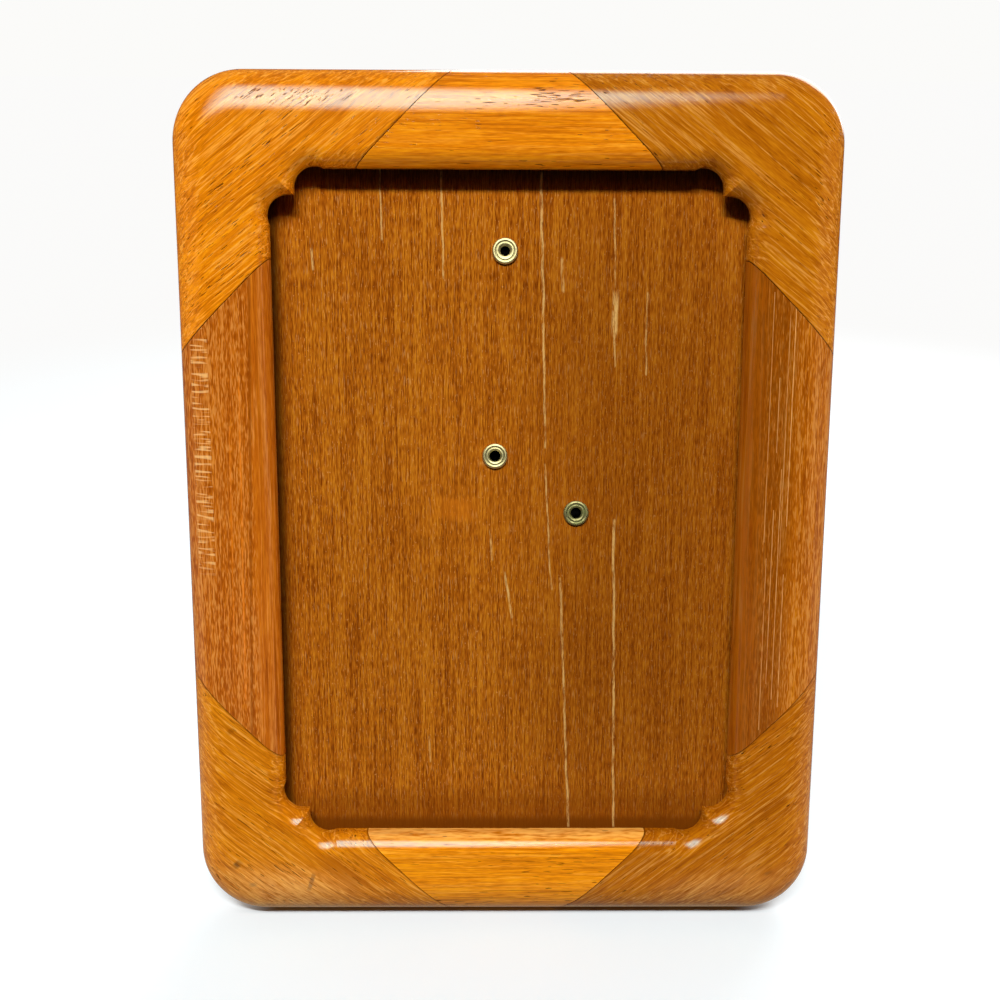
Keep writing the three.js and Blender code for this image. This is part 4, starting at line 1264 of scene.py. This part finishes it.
def pale_paper():
    """White paper that the camera sees as white and that keeps the object's shadow."""
    p = Paint("pale paper", BLACK)
    place = p.node("TexCoord", output="Object")
    x, y, _ = p.apart(place)
    seen = p.rays("Camera")
    mirrored = p.rays("Glossy", "Transmission")
    far = p.distance(place).ramp(0.3, 0.75)
    near = y.ramp(-0.16, -0.07)
    p.lay((seen * (1 - far)).top((1 - seen) * (near * 0.15 + 0.05)), PAPER)
    # No glow under the frame's foot, so that the contact shadow stays
    foot = x.size().ramp(0.074, 0.06) * y.ramp(-0.0303, -0.0288) * y.ramp(0.06, 0.0)
    glow = (seen * (far * 0.665 + (1 - foot) * 0.3)
            + mirrored * (y.ramp(-0.085, -0.05) * y.ramp(0.05, 0.0) * 0.38 + 0.03))
    light = p.mix(glow, BLACK, p.mix(mirrored, PAPER_GLOW, PAPER_MIRRORED))
    return p.finish(Roughness=0.9, Specular_IOR_Level=0.0, Emission_Color=light, Emission_Strength=1.0)


def room_light(scene):
    """A room that is white to the camera, dim in front of the frame and pale behind it."""
    s = stage_settings()
    world = scene.world or bpy.data.worlds.new("room")
    scene.world = world
    world.use_nodes = True
    world.node_tree.nodes.clear()
    n = Nodes(world.node_tree)
    mirrored = n.rays("Glossy")
    y = n.apart(n.node("TexCoord", output="Generated"))[1]
    level = y.ramp(-0.1, 0.45) * (1 - mirrored * 0.7) * s.room + s.fill
    room = n.node("Background", {}, Color=n.mix(mirrored, ROOM, ROOM_MIRRORED), Strength=level)
    white = n.node("Background", {}, Color=ROOM_SEEN, Strength=1.0)
    both = n.node("MixShader", {}, n.rays("Camera"), room, white)
    n.node("OutputWorld", {}, both, output=())


class PICTURE_FRAME_OT_stage(bpy.types.Operator):
    """Sets the floor, the lamps and the camera"""
    bl_idname = "picture_frame.stage"
    bl_label = "Stage"

    def execute(self, context):
        s, scene = stage_settings(), context.scene
        mesh = bpy.data.meshes.new("floor")
        corners = [(x * FLOOR_REACH, y * FLOOR_REACH, 0) for x, y in ((-1, -1), (1, -1), (1, 1), (-1, 1))]
        mesh.from_pydata(corners, [], [(0, 1, 2, 3)])
        mesh.materials.append(pale_paper())
        new_object("floor", mesh)
        middle = leaned() @ Vector((0, 0, sizes().height / 2))
        out = leaned().to_3x3()

        def ahead(rise, distance, across=0.0):
            """A place in front of the frame's middle, some degrees above the way that it faces."""
            turn = math.radians(rise)
            return middle + out @ Vector((across, -math.cos(turn), math.sin(turn))) * distance

        unmirrored = ("glossy",)
        lamp("key", ahead(43.5, 1.5, -0.1), middle, (0.9, 0.09), s.key_watts, None, unmirrored)
        lamp("bounce", (0.0, -0.3, 0.04), middle, (0.6, 0.05), s.bounce_watts, WOOD_LIGHT, unmirrored)
        for side in SIDES.values():
            watts = s.side_watts * (1 + 0.25 * side)
            lamp("side", (side * 0.5, -0.08, 0.12), middle, (0.4, 0.4), watts, WOOD_LIGHT, unmirrored)
        lamp("back", (0.35, 0.9, 0.55), middle, (0.9, 0.7), s.back_watts)
        mirrored_lamp("gloss", ahead(48.5, 0.8, -0.24), middle, (0.94, 0.8), s.gloss, WOOD_LIGHT,
                      left_fade=0.5, tint=(0.5, 1.0, 1.0))
        mirrored_lamp("sheen", ahead(40, 0.8), middle, (1.6, 1.6), s.sheen, METAL_LIGHT)
        mirrored_lamp("back sheen", (0, 0.35, 0.004), (0, 0.35, 1), (1.2, 0.6), s.back_sheen, METAL_LIGHT)
        room_light(scene)
        data = bpy.data.cameras.new("camera")
        data.sensor_width = SENSOR_MM
        data.sensor_fit = "HORIZONTAL"
        data.lens = s.lens
        data.clip_start = 0.01
        data.clip_end = 100.0
        camera = new_object("camera", data)
        camera.location = s.eye
        camera.rotation_euler = Euler(s.turn, "XYZ")
        scene.camera = camera
        scene.view_settings.view_transform = "Standard"
        return {"FINISHED"}


class PICTURE_FRAME_PT_sidebar(bpy.types.Panel):
    """Lists the pieces in the order in which they are built"""
    bl_idname = "PICTURE_FRAME_PT_sidebar"
    bl_label = "Picture frame"
    bl_space_type = "VIEW_3D"
    bl_region_type = "UI"
    bl_category = "Picture frame"

    def draw(self, context):
        for operator in OPERATORS:
            self.layout.operator(operator.bl_idname)


OPERATORS = (
    PICTURE_FRAME_OT_rails,
    PICTURE_FRAME_OT_corner_blocks,
    PICTURE_FRAME_OT_panel,
    PICTURE_FRAME_OT_easel_leg,
    PICTURE_FRAME_OT_hinge,
    PICTURE_FRAME_OT_rivets,
    PICTURE_FRAME_OT_hanger,
    PICTURE_FRAME_OT_turn_buttons,
    PICTURE_FRAME_OT_screws,
    PICTURE_FRAME_OT_stage,
)
GROUPS = {
    "picture_frame_sizes": FrameSizes,
    "picture_frame_fittings": FittingSizes,
    "picture_frame_finishes": Finishes,
    "picture_frame_stage": StageSettings,
}


def register():
    """Registers the properties, the operators and the panel."""
    for name, group in GROUPS.items():
        bpy.utils.register_class(group)
        setattr(bpy.types.Scene, name, PointerProperty(type=group))
    for item in (*OPERATORS, PICTURE_FRAME_PT_sidebar):
        bpy.utils.register_class(item)


def unregister():
    """Takes back what register added."""
    for item in (PICTURE_FRAME_PT_sidebar, *reversed(OPERATORS)):
        bpy.utils.unregister_class(item)
    for name, group in GROUPS.items():
        delattr(bpy.types.Scene, name)
        bpy.utils.unregister_class(group)


def main():
    """Builds every piece in order."""
    register()
    for operator in OPERATORS:
        group, name = operator.bl_idname.split(".")
        getattr(getattr(bpy.ops, group), name)()


if __name__ == "__main__":
    main()
